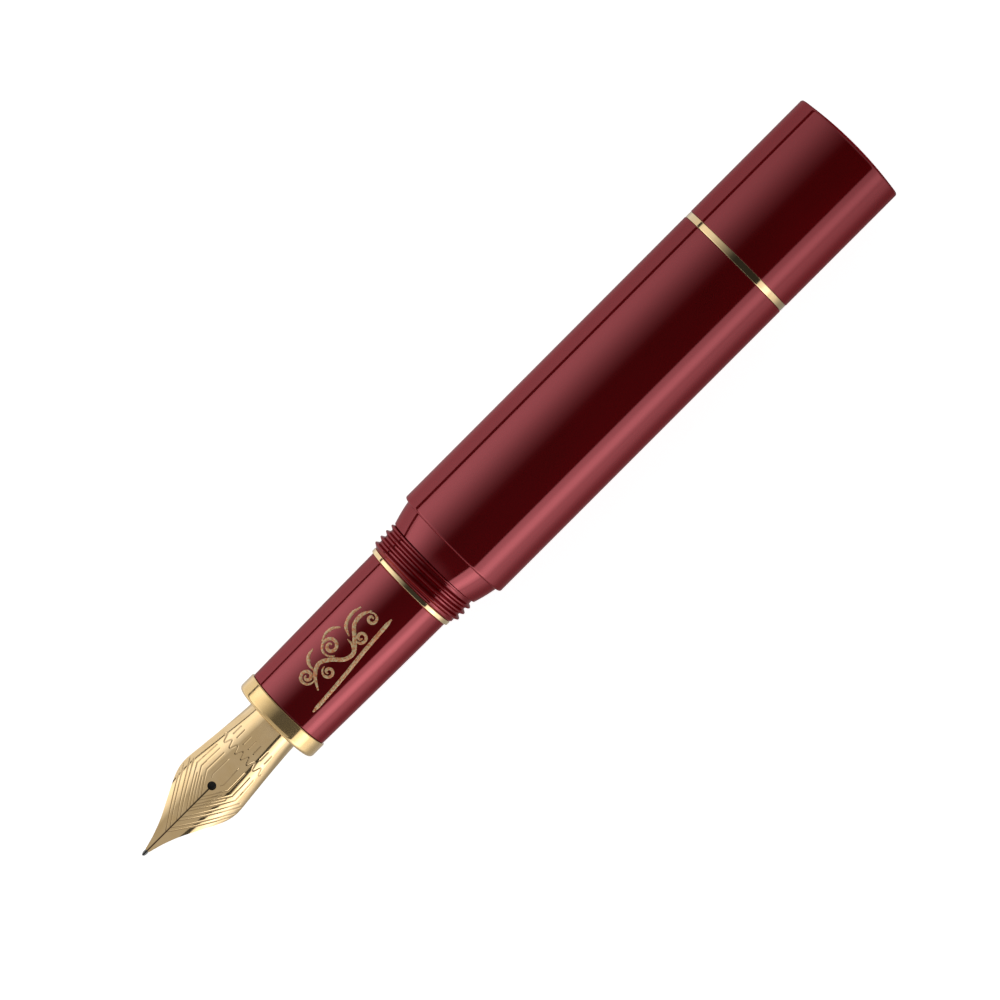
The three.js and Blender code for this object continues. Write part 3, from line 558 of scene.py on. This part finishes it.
places = points_of(nib)
s, y = places[:, 0] / MM - tip, places[:, 1] / MM
# These attributes carry painted shade: the darkening in the engraved cuts and along the slit.
for name, shade in (("engraved", engraving(s, y)), ("slit", slit_shade(s, y))):
    painted = nib.data.attributes.new(name, "FLOAT", "POINT")
    painted.data.foreach_set("value", shade.astype(np.float32))
bpy.ops.object.shade_smooth_by_angle(angle=NIB_SMOOTH)

# Painted shade darkens the gold towards black in the engraved cuts, and nearly to black along the
# slit;
# the sheet is buffed along its length.
nib_gold, tree, shader, place = new_finish("engraved_gold", (0.82, 0.6, 0.33), 0.09, metallic=0.95)
buffed = toned(tree, grain(tree, place, 420), (0.79, 0.565, 0.29), (0.85, 0.635, 0.365))
# Painted shade: the gold darkens towards black in the engraved cuts.
cut_painted_shade = add_node(tree, "ShaderNodeAttribute", attribute_name="engraved").outputs["Fac"]
cut_shaded_tone = mixed(tree, between(tree, cut_painted_shade, 0.0, 0.7, 0.2, 0.95), buffed, (0.13, 0.06, 0.02, 1))
# Painted shade: the gold darkens nearly to black along the slit.
slit_painted_shade = add_node(tree, "ShaderNodeAttribute", attribute_name="slit").outputs["Fac"]
tree.links.new(mixed(tree, slit_painted_shade, cut_shaded_tone, (0.03, 0.008, 0.004, 1)),
               shader.inputs["Base Color"])
tree.links.new(between(tree, grain(tree, place, 1800, (0.3, 3, 3)), 0.06, 0.12),
               shader.inputs["Roughness"])
bumped(tree, shader, grain(tree, place, 5000, (0.06, 1, 1), 2), 1.5e-6, 0.3)
nib.data.materials.clear()
nib.data.materials.append(nib_gold)
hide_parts("nib")
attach(nib, "pen_body")


# ---------------------------------------------------------------- tipping
# A pellet of hard platinum-group alloy, welded to the tip, slit with the nib and ground round, so
# that each tine carries one half. Its ground faces are dull beside the gold.
PELLET_RADIUS = 0.37
PELLET_HALF_WIDTH = 0.27
PELLET_MIDDLE = 0.55
PELLET_LENGTH = 1.15
PELLET_HEIGHT = 0.61
PELLET_SMOOTH = math.radians(40)
alloy, tree, shader, place = new_finish("ground_alloy", (0.2, 0.2, 0.2), 0.3, metallic=1.0)
tree.links.new(toned(tree, grain(tree, place, 4000), (0.13, 0.135, 0.13), (0.27, 0.27, 0.26)),
               shader.inputs["Base Color"])
tree.links.new(between(tree, grain(tree, place, 9000), 0.22, 0.42), shader.inputs["Roughness"])
bumped(tree, shader, grain(tree, place, 16000, (1, 4, 4), 2), 2e-6, 0.5)
for name, side in (("tipping_left", 1), ("tipping_right", -1)):
    bpy.ops.object.select_all(action="DESELECT")
    bpy.ops.mesh.primitive_uv_sphere_add(
        segments=48, ring_count=32, radius=PELLET_RADIUS * MM, rotation=(0, math.pi / 2, 0),
        location=((tip + PELLET_MIDDLE) * MM, 0, AXIS_Z + PELLET_HEIGHT * MM),
    )
    pellet = bpy.context.object
    bpy.ops.object.transform_apply(location=True, rotation=True)
    places = points_of(pellet)
    middle = (tip + PELLET_MIDDLE) * MM
    off_middle = places[:, 0] - middle
    reach = np.where(off_middle < 0, PELLET_MIDDLE, PELLET_LENGTH - PELLET_MIDDLE)
    places[:, 0] = middle + off_middle * reach / PELLET_RADIUS
    places[:, 1] *= PELLET_HALF_WIDTH / PELLET_RADIUS
    set_points(pellet, places)
    bpy.ops.object.mode_set(mode="EDIT")
    bpy.ops.mesh.select_all(action="SELECT")
    bpy.ops.mesh.bisect(
        plane_co=(0, side * SLIT_AT_TIP / 2 * MM, 0), plane_no=(0, side, 0),
        use_fill=True, clear_inner=True,
    )
    bpy.ops.mesh.select_all(action="SELECT")
    bpy.ops.mesh.normals_make_consistent(inside=False)
    bpy.ops.object.mode_set(mode="OBJECT")
    bpy.ops.object.shade_smooth_by_angle(angle=PELLET_SMOOTH)
    pellet.name = pellet.data.name = name + "_ground"
    pellet.data.materials.append(alloy)
    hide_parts(name)
    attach(pellet, "pen_body")


# ---------------------------------------------------------------- section front ring
# The polished gold collar on the front of the grip. It is turned from gold-plated brass with a
# rounded front edge, and is held between the section and the housing's flange.
RING_RADIUS = 5.94
RING_BORE = 5.0
RING_FRONT_EDGE = 0.5
RING_BACK_EDGE = 0.13
RING_BORE_EDGE = 0.12
low, high = (corner_point / MM for corner_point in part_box("section_front_ring"))
front_ring = turn("collar_ring", [
    (high.x, RING_BORE),
    (low.x + RING_BORE_EDGE, RING_BORE),
    (low.x, RING_BORE + RING_BORE_EDGE),
    *corner(low.x + RING_FRONT_EDGE, RING_RADIUS - RING_FRONT_EDGE, RING_FRONT_EDGE, 180, 8),
    *corner(high.x - RING_BACK_EDGE, RING_RADIUS - RING_BACK_EDGE, RING_BACK_EDGE, 90),
    (high.x, RING_BORE),
])

plated_gold, tree, shader, place = new_finish(
    "plated_gold", (0.88, 0.62, 0.29), 0.09, metallic=0.8
)
tree.links.new(toned(tree, grain(tree, place, 500), (0.85, 0.59, 0.26), (0.91, 0.65, 0.32)),
               shader.inputs["Base Color"])
tree.links.new(between(tree, grain(tree, place, 2200, (1, 4, 4)), 0.07, 0.14),
               shader.inputs["Roughness"])
bumped(tree, shader, grain(tree, place, 5200, (1, 0.1, 0.1), 2), 1.2e-6, 0.3)
front_ring.data.materials.append(plated_gold)
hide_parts("section_front_ring")
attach(front_ring, "pen_body")


# ---------------------------------------------------------------- section
# The grip: deep red resin, turned on a slight flare and polished to a gloss. Its tenon plugs into
# the barrel's socket behind an O-ring, and its bore carries the nib unit.
SECTION_BACK_RADIUS = 5.95
SECTION_FRONT_RADIUS = 5.74
SECTION_BREAK = 0.12
TENON_RADIUS = 5.12
SECTION_BORE = 4.45
PASSAGE_RADIUS = 3.38
SECTION_STEPS = 14
SECTION_SEAM = 0.03
GRIP_BOW = 0.03
RING_GROOVE_BOTTOM = 4.36
GROOVE_MARGIN = 0.1
HOUSING_ROOM = 0.3
low, high = (corner_point / MM for corner_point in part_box("section"))
section_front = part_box("section_front_ring")[1].x / MM + SECTION_SEAM
section_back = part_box("section_trim_ring")[0].x / MM - SECTION_SEAM
section_length = section_back - section_front


def grip_radius(x):
    share = (x - section_front) / section_length
    bow = 4 * share * (1 - share) * GRIP_BOW
    return SECTION_FRONT_RADIUS + (SECTION_BACK_RADIUS - SECTION_FRONT_RADIUS) * share + bow


o_ring_low, o_ring_high = (corner_point / MM for corner_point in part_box("section_o_ring"))
groove_front = o_ring_low.x - GROOVE_MARGIN
groove_back = o_ring_high.x + GROOVE_MARGIN
housing_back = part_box("nib_housing")[1].x / MM + HOUSING_ROOM
grip_stations = [
    section_front + SECTION_BREAK + (section_length - 2 * SECTION_BREAK) * i / SECTION_STEPS
    for i in range(1, SECTION_STEPS)
]
section = turn("grip_section", [
    (low.x, SECTION_BORE),
    (low.x, FLANGE_RADIUS),
    (section_front, FLANGE_RADIUS),
    *corner(section_front + SECTION_BREAK,
            grip_radius(section_front + SECTION_BREAK) - SECTION_BREAK, SECTION_BREAK, 180),
    *[(x, grip_radius(x)) for x in grip_stations],
    *corner(section_back - SECTION_BREAK,
            grip_radius(section_back - SECTION_BREAK) - SECTION_BREAK, SECTION_BREAK, 90),
    (section_back, TENON_RADIUS),
    (groove_front, TENON_RADIUS),
    (groove_front, RING_GROOVE_BOTTOM),
    (groove_back, RING_GROOVE_BOTTOM),
    (groove_back, TENON_RADIUS),
    (high.x, TENON_RADIUS),
    (high.x, PASSAGE_RADIUS),
    (housing_back, PASSAGE_RADIUS),
    (housing_back, SECTION_BORE),
    (low.x, SECTION_BORE),
])

# Cast resin is never one colour: slow clouds run along the rod, under a polish that keeps faint
# lines round the pen.
resin, tree, shader, place = new_finish(
    "polished_red_resin", (0.14, 0.0004, 0.002), 0.06, ior=4.0, tint=(0.55, 0.145, 0.162)
)
cloud = grain(tree, place, 110, (0.35, 1, 1), 5)
tree.links.new(toned(tree, cloud, (0.12, 0.0002, 0.0012), (0.165, 0.0005, 0.0028)),
               shader.inputs["Base Color"])
tree.links.new(between(tree, grain(tree, place, 700), 0.045, 0.085), shader.inputs["Roughness"])
bumped(tree, shader, grain(tree, place, 2400, (1, 0.08, 0.08), 3), 1.5e-6, 0.25)
section.data.materials.append(resin)
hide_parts("section")
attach(section, "pen_body")


# ---------------------------------------------------------------- section inlay
# A vine scroll with an underline, engraved in the grip and filled with gold. The fill is laid in
# as powder and resin, cut back flush, and stays a little grainy; it carries no letters.
FILL_PROUD = 0.03
FILL_SUNK = 0.1
STROKE_END = 0.35
# Across a stroke: the share of its width, and the height over the grip.
FILL_PROFILE = [
    (-0.5, -FILL_SUNK), (-0.5, 0.0), (-0.26, FILL_PROUD), (0.0, FILL_PROUD * 1.1),
    (0.26, FILL_PROUD), (0.5, 0.0), (0.5, -FILL_SUNK),
]


def spiral(centre, start, turns, outer, inner, count=44):
    """Points of a spiral from its outside in, with the start angle in degrees."""
    points = []
    for i in range(count + 1):
        share = i / count
        angle = math.radians(start + 360 * turns * share)
        reach = outer + (inner - outer) * share
        points.append((centre[0] + reach * math.cos(angle), centre[1] + reach * math.sin(angle)))
    return points


def swing(points, count=40):
    """A smooth line through the points."""
    at = np.arange(len(points))
    fine = np.linspace(0, len(points) - 1, count + 1)
    xs = through([(i, point[0]) for i, point in zip(at, points)])(fine)
    ys = through([(i, point[1]) for i, point in zip(at, points)])(fine)
    return list(zip(xs, ys))


# Each stroke is a line along the pen and across it, its greatest width, and how fast it tapers.
strokes = [
    (swing([(-32.6, -2.35), (-28.0, -2.02), (-23.0, -1.5), (-18.3, -1.15)], 60), 0.5, 0.06),
    (swing([(-30.3, -0.9), (-29.3, 0.6), (-28.0, 1.25), (-26.7, 0.6), (-25.5, -0.55),
            (-24.2, -0.75), (-23.0, 0.3), (-21.8, 1.55), (-20.4, 1.75), (-19.2, 1.2)], 110),
     0.5, 0.12),
    (spiral((-30.1, 1.15), 300, -1.6, 1.0, 0.16), 0.4, 0.25),
    (spiral((-27.9, -0.25), 80, 1.4, 0.8, 0.16), 0.36, 0.25),
    (spiral((-25.6, 1.75), 250, -1.7, 1.25, 0.2), 0.42, 0.25),
    (spiral((-22.3, -0.1), 100, 1.5, 0.85, 0.17), 0.38, 0.25),
    (spiral((-19.9, 0.55), 60, -1.3, 0.75, 0.15), 0.36, 0.25),
    (swing([(-29.0, 1.1), (-28.9, 2.1), (-28.2, 2.9), (-27.3, 3.1)], 30), 0.5, 0.45),
    (swing([(-26.0, 2.95), (-25.0, 3.35), (-24.0, 3.2), (-23.2, 2.5)], 30), 0.46, 0.45),
    (swing([(-23.2, 1.0), (-22.6, 2.2), (-21.2, 2.75), (-19.8, 2.5)], 40), 0.46, 0.3),
    (swing([(-24.6, -0.9), (-23.9, -0.35), (-23.6, 0.2), (-23.6, 0.9)], 24), 0.36, 0.45),
]


def fill_stroke(mesh, line, width, taper):
    """Lays one stroke of fill along a line, wrapped on the grip, as a closed low ridge."""
    line = np.array(line)
    along = np.gradient(line, axis=0)
    along /= np.linalg.norm(along, axis=1)[:, None]
    sideways = np.column_stack([-along[:, 1], along[:, 0]])
    share = np.linspace(0, 1, len(line))
    from_end = np.minimum(share, 1 - share)
    widths = width * np.minimum(1, STROKE_END + (1 - STROKE_END) * from_end / taper)
    loops = []
    for point, side_step, stroke_width in zip(line, sideways, widths):
        loop = []
        for offset, height in FILL_PROFILE:
            x, y = point + side_step * offset * stroke_width
            radius = grip_radius(x)
            angle = y / radius
            loop.append(mesh.verts.new((
                x * MM, (radius + height) * math.sin(angle) * MM,
                (AXIS_MM + (radius + height) * math.cos(angle)) * MM,
            )))
        loops.append(loop)
    for first, second in zip(loops, loops[1:]):
        for i in range(-1, len(FILL_PROFILE) - 1):
            mesh.faces.new((first[i], first[i + 1], second[i + 1], second[i]))
    mesh.faces.new(loops[0][::-1])
    mesh.faces.new(loops[-1])


mesh = bmesh.new()
for line, width, taper in strokes:
    fill_stroke(mesh, line, width, taper)
bmesh.ops.recalc_face_normals(mesh, faces=mesh.faces)
inlay_mesh = bpy.data.meshes.new("gold_scroll")
mesh.to_mesh(inlay_mesh)
mesh.free()
inlay = bpy.data.objects.new("gold_scroll", inlay_mesh)
bpy.context.scene.collection.objects.link(inlay)
for face in inlay_mesh.polygons:
    face.use_smooth = True

gold_fill, tree, shader, place = new_finish("gold_fill", (0.97, 0.54, 0.27), 0.4, metallic=0.1)
flakes = grain(tree, place, 4200, (1, 1, 1), 2, 0.6)
tree.links.new(toned(tree, flakes, (0.93, 0.33, 0.13), (1.0, 0.75, 0.41), 0.4, 0.56),
               shader.inputs["Base Color"])
tree.links.new(between(tree, grain(tree, place, 8000), 0.2, 0.36), shader.inputs["Roughness"])
bumped(tree, shader, flakes, 2e-4, 1.0)
inlay.data.materials.append(gold_fill)
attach(inlay, "pen_body")


# ---------------------------------------------------------------- section trim ring
# The thin gold ring between the section and the cap thread. It is turned, plated and polished,
# and is clamped when the section is screwed home.
TRIM_RADIUS = 6.22
TRIM_BORE = 5.18
TRIM_EDGE = 0.1
low, high = (corner_point / MM for corner_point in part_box("section_trim_ring"))
trim_ring = turn("trim_ring", [
    (high.x, TRIM_BORE),
    (low.x, TRIM_BORE),
    *corner(low.x + TRIM_EDGE, TRIM_RADIUS - TRIM_EDGE, TRIM_EDGE, 180),
    *corner(high.x - TRIM_EDGE, TRIM_RADIUS - TRIM_EDGE, TRIM_EDGE, 90),
    (high.x, TRIM_BORE),
])

# The two thin rings, this one and the tail ring, are burnished brighter than the collar.
burnished_gold, tree, shader, place = new_finish(
    "burnished_gold", (1.0, 0.74, 0.41), 0.08, metallic=1.0
)
tree.links.new(toned(tree, grain(tree, place, 500), (0.98, 0.71, 0.37), (1.0, 0.77, 0.45)),
               shader.inputs["Base Color"])
tree.links.new(between(tree, grain(tree, place, 2200, (1, 4, 4)), 0.06, 0.11),
               shader.inputs["Roughness"])
bumped(tree, shader, grain(tree, place, 5200, (1, 0.1, 0.1), 2), 1.2e-6, 0.3)
trim_ring.data.materials.append(burnished_gold)
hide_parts("section_trim_ring")
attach(trim_ring, "pen_body")


# ---------------------------------------------------------------- barrel
# The body: one length of deep red resin, bored for the ink and the piston. Its nose carries the
# cap thread, cut right-handed, then a relief groove, a cone and the shoulder that stops the cap.
BARREL_RADIUS = 7.9
BARREL_SIDES = 224
THREAD_ROOT = 6.31
THREAD_DEPTH = 0.44
THREAD_PITCH = 0.92
THREAD_TURNS = 3.75
THREAD_STEPS = 88
RELIEF_LIP = 0.03
CREST_HALF = 0.06
ROOT_HALF = 0.36
RUN_OUT = 0.45
SOCKET_RADIUS = 5.18
CHAMBER_RADIUS = 5.0
SLEEVE_SOCKET_RADIUS = 6.21
CONE_FRONT_RADIUS = 6.6
CONE_BACK_RADIUS = 7.34
CONE_BOW = 0.06
CONE_FOOT = 0.08
CONE_LIP = 0.07
CONE_STEPS = 10
SHOULDER_FOOT = 7.5
SHOULDER_LEAN = 0.005
SHOULDER_EDGE = 0.3
BARREL_BACK_EDGE = 0.06
BODY_STEP = 12
# The nose's broken edge: how far back, and how far under the thread's root.
NOSE_BREAK = [(0.0, 0.16), (0.1, 0.05)]
# How far the thread's stations, and the part of them that is cut, stay off the nose and the cone.
THREAD_MARGINS = (0.16, 0.04)
CUT_MARGINS = (0.12, 0.03)
# These are measured back from the barrel's front.
THREAD_START, CONE_START, SHOULDER_START, CHAMBER_START = 0.23, 3.56, 6.64, 7.75
barrel_front = BARREL_LOW.x / MM
barrel_back = BARREL_HIGH.x / MM
cone_front = barrel_front + CONE_START
shoulder = barrel_front + SHOULDER_START
chamber_front = barrel_front + CHAMBER_START
sleeve_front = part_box("mechanism_sleeve")[0].x / MM
thread_start = barrel_front + THREAD_START
thread_stations = np.linspace(
    barrel_front + THREAD_MARGINS[0], cone_front - THREAD_MARGINS[1], THREAD_STEPS
)
cone_stations = [
    (cone_front + CONE_FOOT + (shoulder - cone_front - CONE_FOOT) * share,
     CONE_FRONT_RADIUS + (CONE_BACK_RADIUS - CONE_FRONT_RADIUS) * share
     + CONE_BOW * 4 * share * (1 - share))
    for share in np.linspace(0, 1, CONE_STEPS)
]
barrel = turn("barrel_shell", [
    (barrel_front, SOCKET_RADIUS),
    *[(barrel_front + back, THREAD_ROOT - under) for back, under in NOSE_BREAK],
    *[(x, THREAD_ROOT) for x in thread_stations],
    (cone_front, THREAD_ROOT + RELIEF_LIP),
    (cone_front + CONE_FOOT / 2, CONE_FRONT_RADIUS - CONE_LIP),
    *cone_stations,
    (shoulder + SHOULDER_LEAN, SHOULDER_FOOT),
    *corner(shoulder + SHOULDER_EDGE, BARREL_RADIUS - SHOULDER_EDGE, SHOULDER_EDGE, 180, 6),
    *[(shoulder + BODY_STEP * i, BARREL_RADIUS) for i in (1, 2, 3)],
    *corner(barrel_back - BARREL_BACK_EDGE, BARREL_RADIUS - BARREL_BACK_EDGE, BARREL_BACK_EDGE,
            90, 3),
    (barrel_back, SLEEVE_SOCKET_RADIUS),
    (sleeve_front, SLEEVE_SOCKET_RADIUS),
    (sleeve_front, CHAMBER_RADIUS),
    (chamber_front, CHAMBER_RADIUS),
    (chamber_front, SOCKET_RADIUS),
    (barrel_front, SOCKET_RADIUS),
], sides=BARREL_SIDES)

# Only points this near the plain root are raised. A flank is straight by this share and rounded by
# the rest, a lap is counted from the side, and the thread starts this share of its run-out in.
ROOT_BAND = 0.02
FLANK_STRAIGHT = 0.6
LAP_START = 0.25
RUN_IN = 0.2


def cut_thread(piece, start, pitch, turns, root, depth, crest_half, root_half, run_out, ends):
    """Raises a right-handed thread from the plain root between the ends, with a sharp crest and a
    rounded root, that runs out at both ends. The run-out is in turns."""
    places = points_of(piece)
    x = places[:, 0] / MM
    y = places[:, 1] / MM
    z = places[:, 2] / MM - AXIS_MM
    radius = np.hypot(y, z)
    lap = (np.arctan2(z, y) / (2 * math.pi) + LAP_START) % 1
    done = np.round((x - start) / pitch - lap) + lap
    off_crest = np.abs(x - start - pitch * done)
    ridge = np.clip((root_half - off_crest) / (root_half - crest_half), 0, 1)
    ridge = FLANK_STRAIGHT * ridge + (1 - FLANK_STRAIGHT) * eased(ridge)
    ridge = ridge * eased(done / run_out + RUN_IN) * eased((turns - done) / run_out)
    cut = (np.abs(radius - root) < ROOT_BAND) & (x > ends[0]) & (x < ends[1])
    grown = np.where(cut, 1 + depth * ridge / root, 1)
    places[:, 1] = y * grown * MM
    places[:, 2] = (z * grown + AXIS_MM) * MM
    set_points(piece, places)


cut_thread(barrel, thread_start, THREAD_PITCH, THREAD_TURNS, THREAD_ROOT, THREAD_DEPTH,
           CREST_HALF, ROOT_HALF, RUN_OUT,
           (barrel_front + CUT_MARGINS[0], cone_front - CUT_MARGINS[1]))
barrel.data.materials.append(resin)
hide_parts("barrel")
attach(barrel, "pen_body")


# ---------------------------------------------------------------- piston
# The moulded black head with its two greased O-rings, on a natural nylon rod that is a tube with
# two flats. The O-ring behind the section and the one on the mechanism are the same rubber.
rubber, tree, shader, place = new_finish("greased_rubber", (0.01, 0.01, 0.01), 0.35)
tree.links.new(toned(tree, grain(tree, place, 1600), (0.007, 0.007, 0.007), (0.022, 0.021, 0.02)),
               shader.inputs["Base Color"])
tree.links.new(between(tree, grain(tree, place, 700), 0.22, 0.6), shader.inputs["Roughness"])
bumped(tree, shader, grain(tree, place, 7000), 4e-6, 0.5)
nylon, tree, shader, place = new_finish("natural_nylon", (0.76, 0.72, 0.6), 0.42)
tree.links.new(toned(tree, grain(tree, place, 260, (0.3, 1, 1)), (0.7, 0.65, 0.52),
                     (0.82, 0.79, 0.69)), shader.inputs["Base Color"])
tree.links.new(between(tree, grain(tree, place, 1500), 0.34, 0.52), shader.inputs["Roughness"])
bumped(tree, shader, grain(tree, place, 2600, (0.2, 1, 1)), 4e-6, 0.4)
refinish("piston_head", ebonite)
for node in ("section_o_ring", "piston_front_o_ring", "piston_rear_o_ring", "sleeve_o_ring"):
    refinish(node, rubber)
refinish("piston_rod", nylon)
refinish("thrust_washer", nylon)


# ---------------------------------------------------------------- mechanism sleeve
# The brass bush screwed into the barrel's back. It guides the rod and holds the spindle, and the
# knob runs on the right-handed thread of its neck, which shows when the knob is unscrewed.
SLEEVE_RADIUS = 6.15
SLEEVE_SIDES = 144
NECK_ROOT = 5.08
NECK_DEPTH = 0.32
NECK_PITCH = 1.0
NECK_TURNS = 13.0
NECK_CREST_HALF = 0.12
NECK_ROOT_HALF = 0.44
NECK_RUN_OUT = 0.5
NECK_LAND = 0.42
NECK_STEPS = 190
NECK_SEAT = 0.1
NECK_THREAD_START = 1.0
NECK_MARGINS = (0.5, 0.2)
NECK_CUT_MARGINS = (0.45, 0.25)
NECK_BREAK = [(0.1, 0.05), (0.0, 0.15)]
COLLAR_BORE = 4.2
COLLAR_ROOM = 2.13
ROD_TUNNEL_RADIUS = 3.4
GUIDE_RADIUS = 3.2
GUIDE_LENGTH = 3.0
SLEEVE_GROOVE_BOTTOM = 5.35
SEAL_MARGIN = 0.14
sleeve_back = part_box("mechanism_sleeve")[1].x / MM
seal_low, seal_high = (corner_point / MM for corner_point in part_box("sleeve_o_ring"))
seal_front, seal_back = seal_low.x - SEAL_MARGIN, seal_high.x + SEAL_MARGIN
collar_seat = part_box("spindle_retainer")[0].x / MM - COLLAR_ROOM
neck_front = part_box("tail_ring")[0].x / MM - NECK_SEAT
neck_stations = np.linspace(
    neck_front + NECK_MARGINS[0], sleeve_back - NECK_MARGINS[1], NECK_STEPS
)
sleeve = turn("sleeve_bush", [
    (sleeve_front, GUIDE_RADIUS),
    (sleeve_front, SLEEVE_RADIUS),
    (seal_front, SLEEVE_RADIUS),
    (seal_front, SLEEVE_GROOVE_BOTTOM),
    (seal_back, SLEEVE_GROOVE_BOTTOM),
    (seal_back, SLEEVE_RADIUS),
    (neck_front, SLEEVE_RADIUS),
    (neck_front, NECK_ROOT + NECK_DEPTH),
    (neck_front + NECK_LAND, NECK_ROOT + NECK_DEPTH),
    *[(x, NECK_ROOT) for x in neck_stations],
    *[(sleeve_back - ahead, NECK_ROOT - under) for ahead, under in NECK_BREAK],
    (sleeve_back, COLLAR_BORE),
    (collar_seat, COLLAR_BORE),
    (collar_seat, ROD_TUNNEL_RADIUS),
    (sleeve_front + GUIDE_LENGTH, ROD_TUNNEL_RADIUS),
    (sleeve_front + GUIDE_LENGTH, GUIDE_RADIUS),
    (sleeve_front, GUIDE_RADIUS),
], sides=SLEEVE_SIDES)
cut_thread(sleeve, neck_front + NECK_THREAD_START, NECK_PITCH, NECK_TURNS, NECK_ROOT, NECK_DEPTH,
           NECK_CREST_HALF, NECK_ROOT_HALF, NECK_RUN_OUT,
           (neck_front + NECK_CUT_MARGINS[0], sleeve_back - NECK_CUT_MARGINS[1]))

turned_brass, tree, shader, place = new_finish(
    "turned_brass", (0.6, 0.43, 0.17), 0.26, metallic=1.0
)
tree.links.new(toned(tree, grain(tree, place, 380), (0.5, 0.34, 0.12), (0.68, 0.5, 0.22)),
               shader.inputs["Base Color"])
tree.links.new(between(tree, grain(tree, place, 1700), 0.18, 0.36), shader.inputs["Roughness"])
bumped(tree, shader, grain(tree, place, 4200, (1, 0.06, 0.06), 2), 4e-6, 0.5)
sleeve.data.materials.append(turned_brass)
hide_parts("mechanism_sleeve")
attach(sleeve, "pen_body")


# ---------------------------------------------------------------- spindle and knob insert
# The steep two-start screw with its collar and hexagonal tail, the retainer that keeps it in the
# sleeve, and the knob's lining, whose boss slides on the hexagon. All are turned brass.
for node in ("spindle", "spindle_retainer", "knob_insert"):
    refinish(node, turned_brass)


# ---------------------------------------------------------------- tail ring
# The thin gold ring between the barrel and the knob, turned, plated and polished. It sits on the
# mechanism sleeve's neck, against the barrel's back edge, and a hair below the surface of both.
TAIL_RING_BORE = 5.46
TAIL_RING_EDGE = 0.07
TAIL_RING_SUNK = 0.03
low, high = (corner_point / MM for corner_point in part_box("tail_ring"))
tail_edge_radius = BARREL_RADIUS - TAIL_RING_SUNK - TAIL_RING_EDGE
tail_ring = turn("tail_band", [
    (high.x, TAIL_RING_BORE),
    (low.x, TAIL_RING_BORE),
    *corner(low.x + TAIL_RING_EDGE, tail_edge_radius, TAIL_RING_EDGE, 180),
    *corner(high.x - TAIL_RING_EDGE, tail_edge_radius, TAIL_RING_EDGE, 90),
    (high.x, TAIL_RING_BORE),
])
tail_ring.data.materials.append(burnished_gold)
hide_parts("tail_ring")
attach(tail_ring, "pen_body")


# ---------------------------------------------------------------- knob
# The end piece that turns to fill the pen: the barrel's own resin, turned to the barrel's
# diameter, with a broken edge and a shallow polished dome. A brass insert is bonded inside it.
KNOB_BORE = 6.7
KNOB_EDGE = 0.3
KNOB_DOME = 0.59
KNOB_END_WALL = 2.2
KNOB_GAP = 0.035
KNOB_FRONT_EDGE = 0.05
KNOB_STEP = 6
DOME_STEPS = 12
low, high = (corner_point / MM for corner_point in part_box("knob"))
knob_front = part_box("tail_ring")[1].x / MM + KNOB_GAP
knob_rim = high.x - KNOB_DOME
dome_radius = BARREL_RADIUS - KNOB_EDGE
dome = [
    (knob_rim + KNOB_DOME * (1 - (1 - i / DOME_STEPS) ** 2), dome_radius * (1 - i / DOME_STEPS))
    for i in range(1, DOME_STEPS + 1)
]
knob = turn("turning_knob", [
    (high.x - KNOB_END_WALL, KNOB_BORE),
    (knob_front, KNOB_BORE),
    *corner(knob_front + KNOB_FRONT_EDGE, BARREL_RADIUS - KNOB_FRONT_EDGE, KNOB_FRONT_EDGE, 180),
    *[(low.x + KNOB_STEP * i, BARREL_RADIUS) for i in (1, 2)],
    *corner(knob_rim - KNOB_EDGE, dome_radius, KNOB_EDGE, 90, 6),
    *dome,
])
knob.data.materials.append(resin)
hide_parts("knob")
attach(knob, "knob_assembly")


bpy.context.view_layer.update()
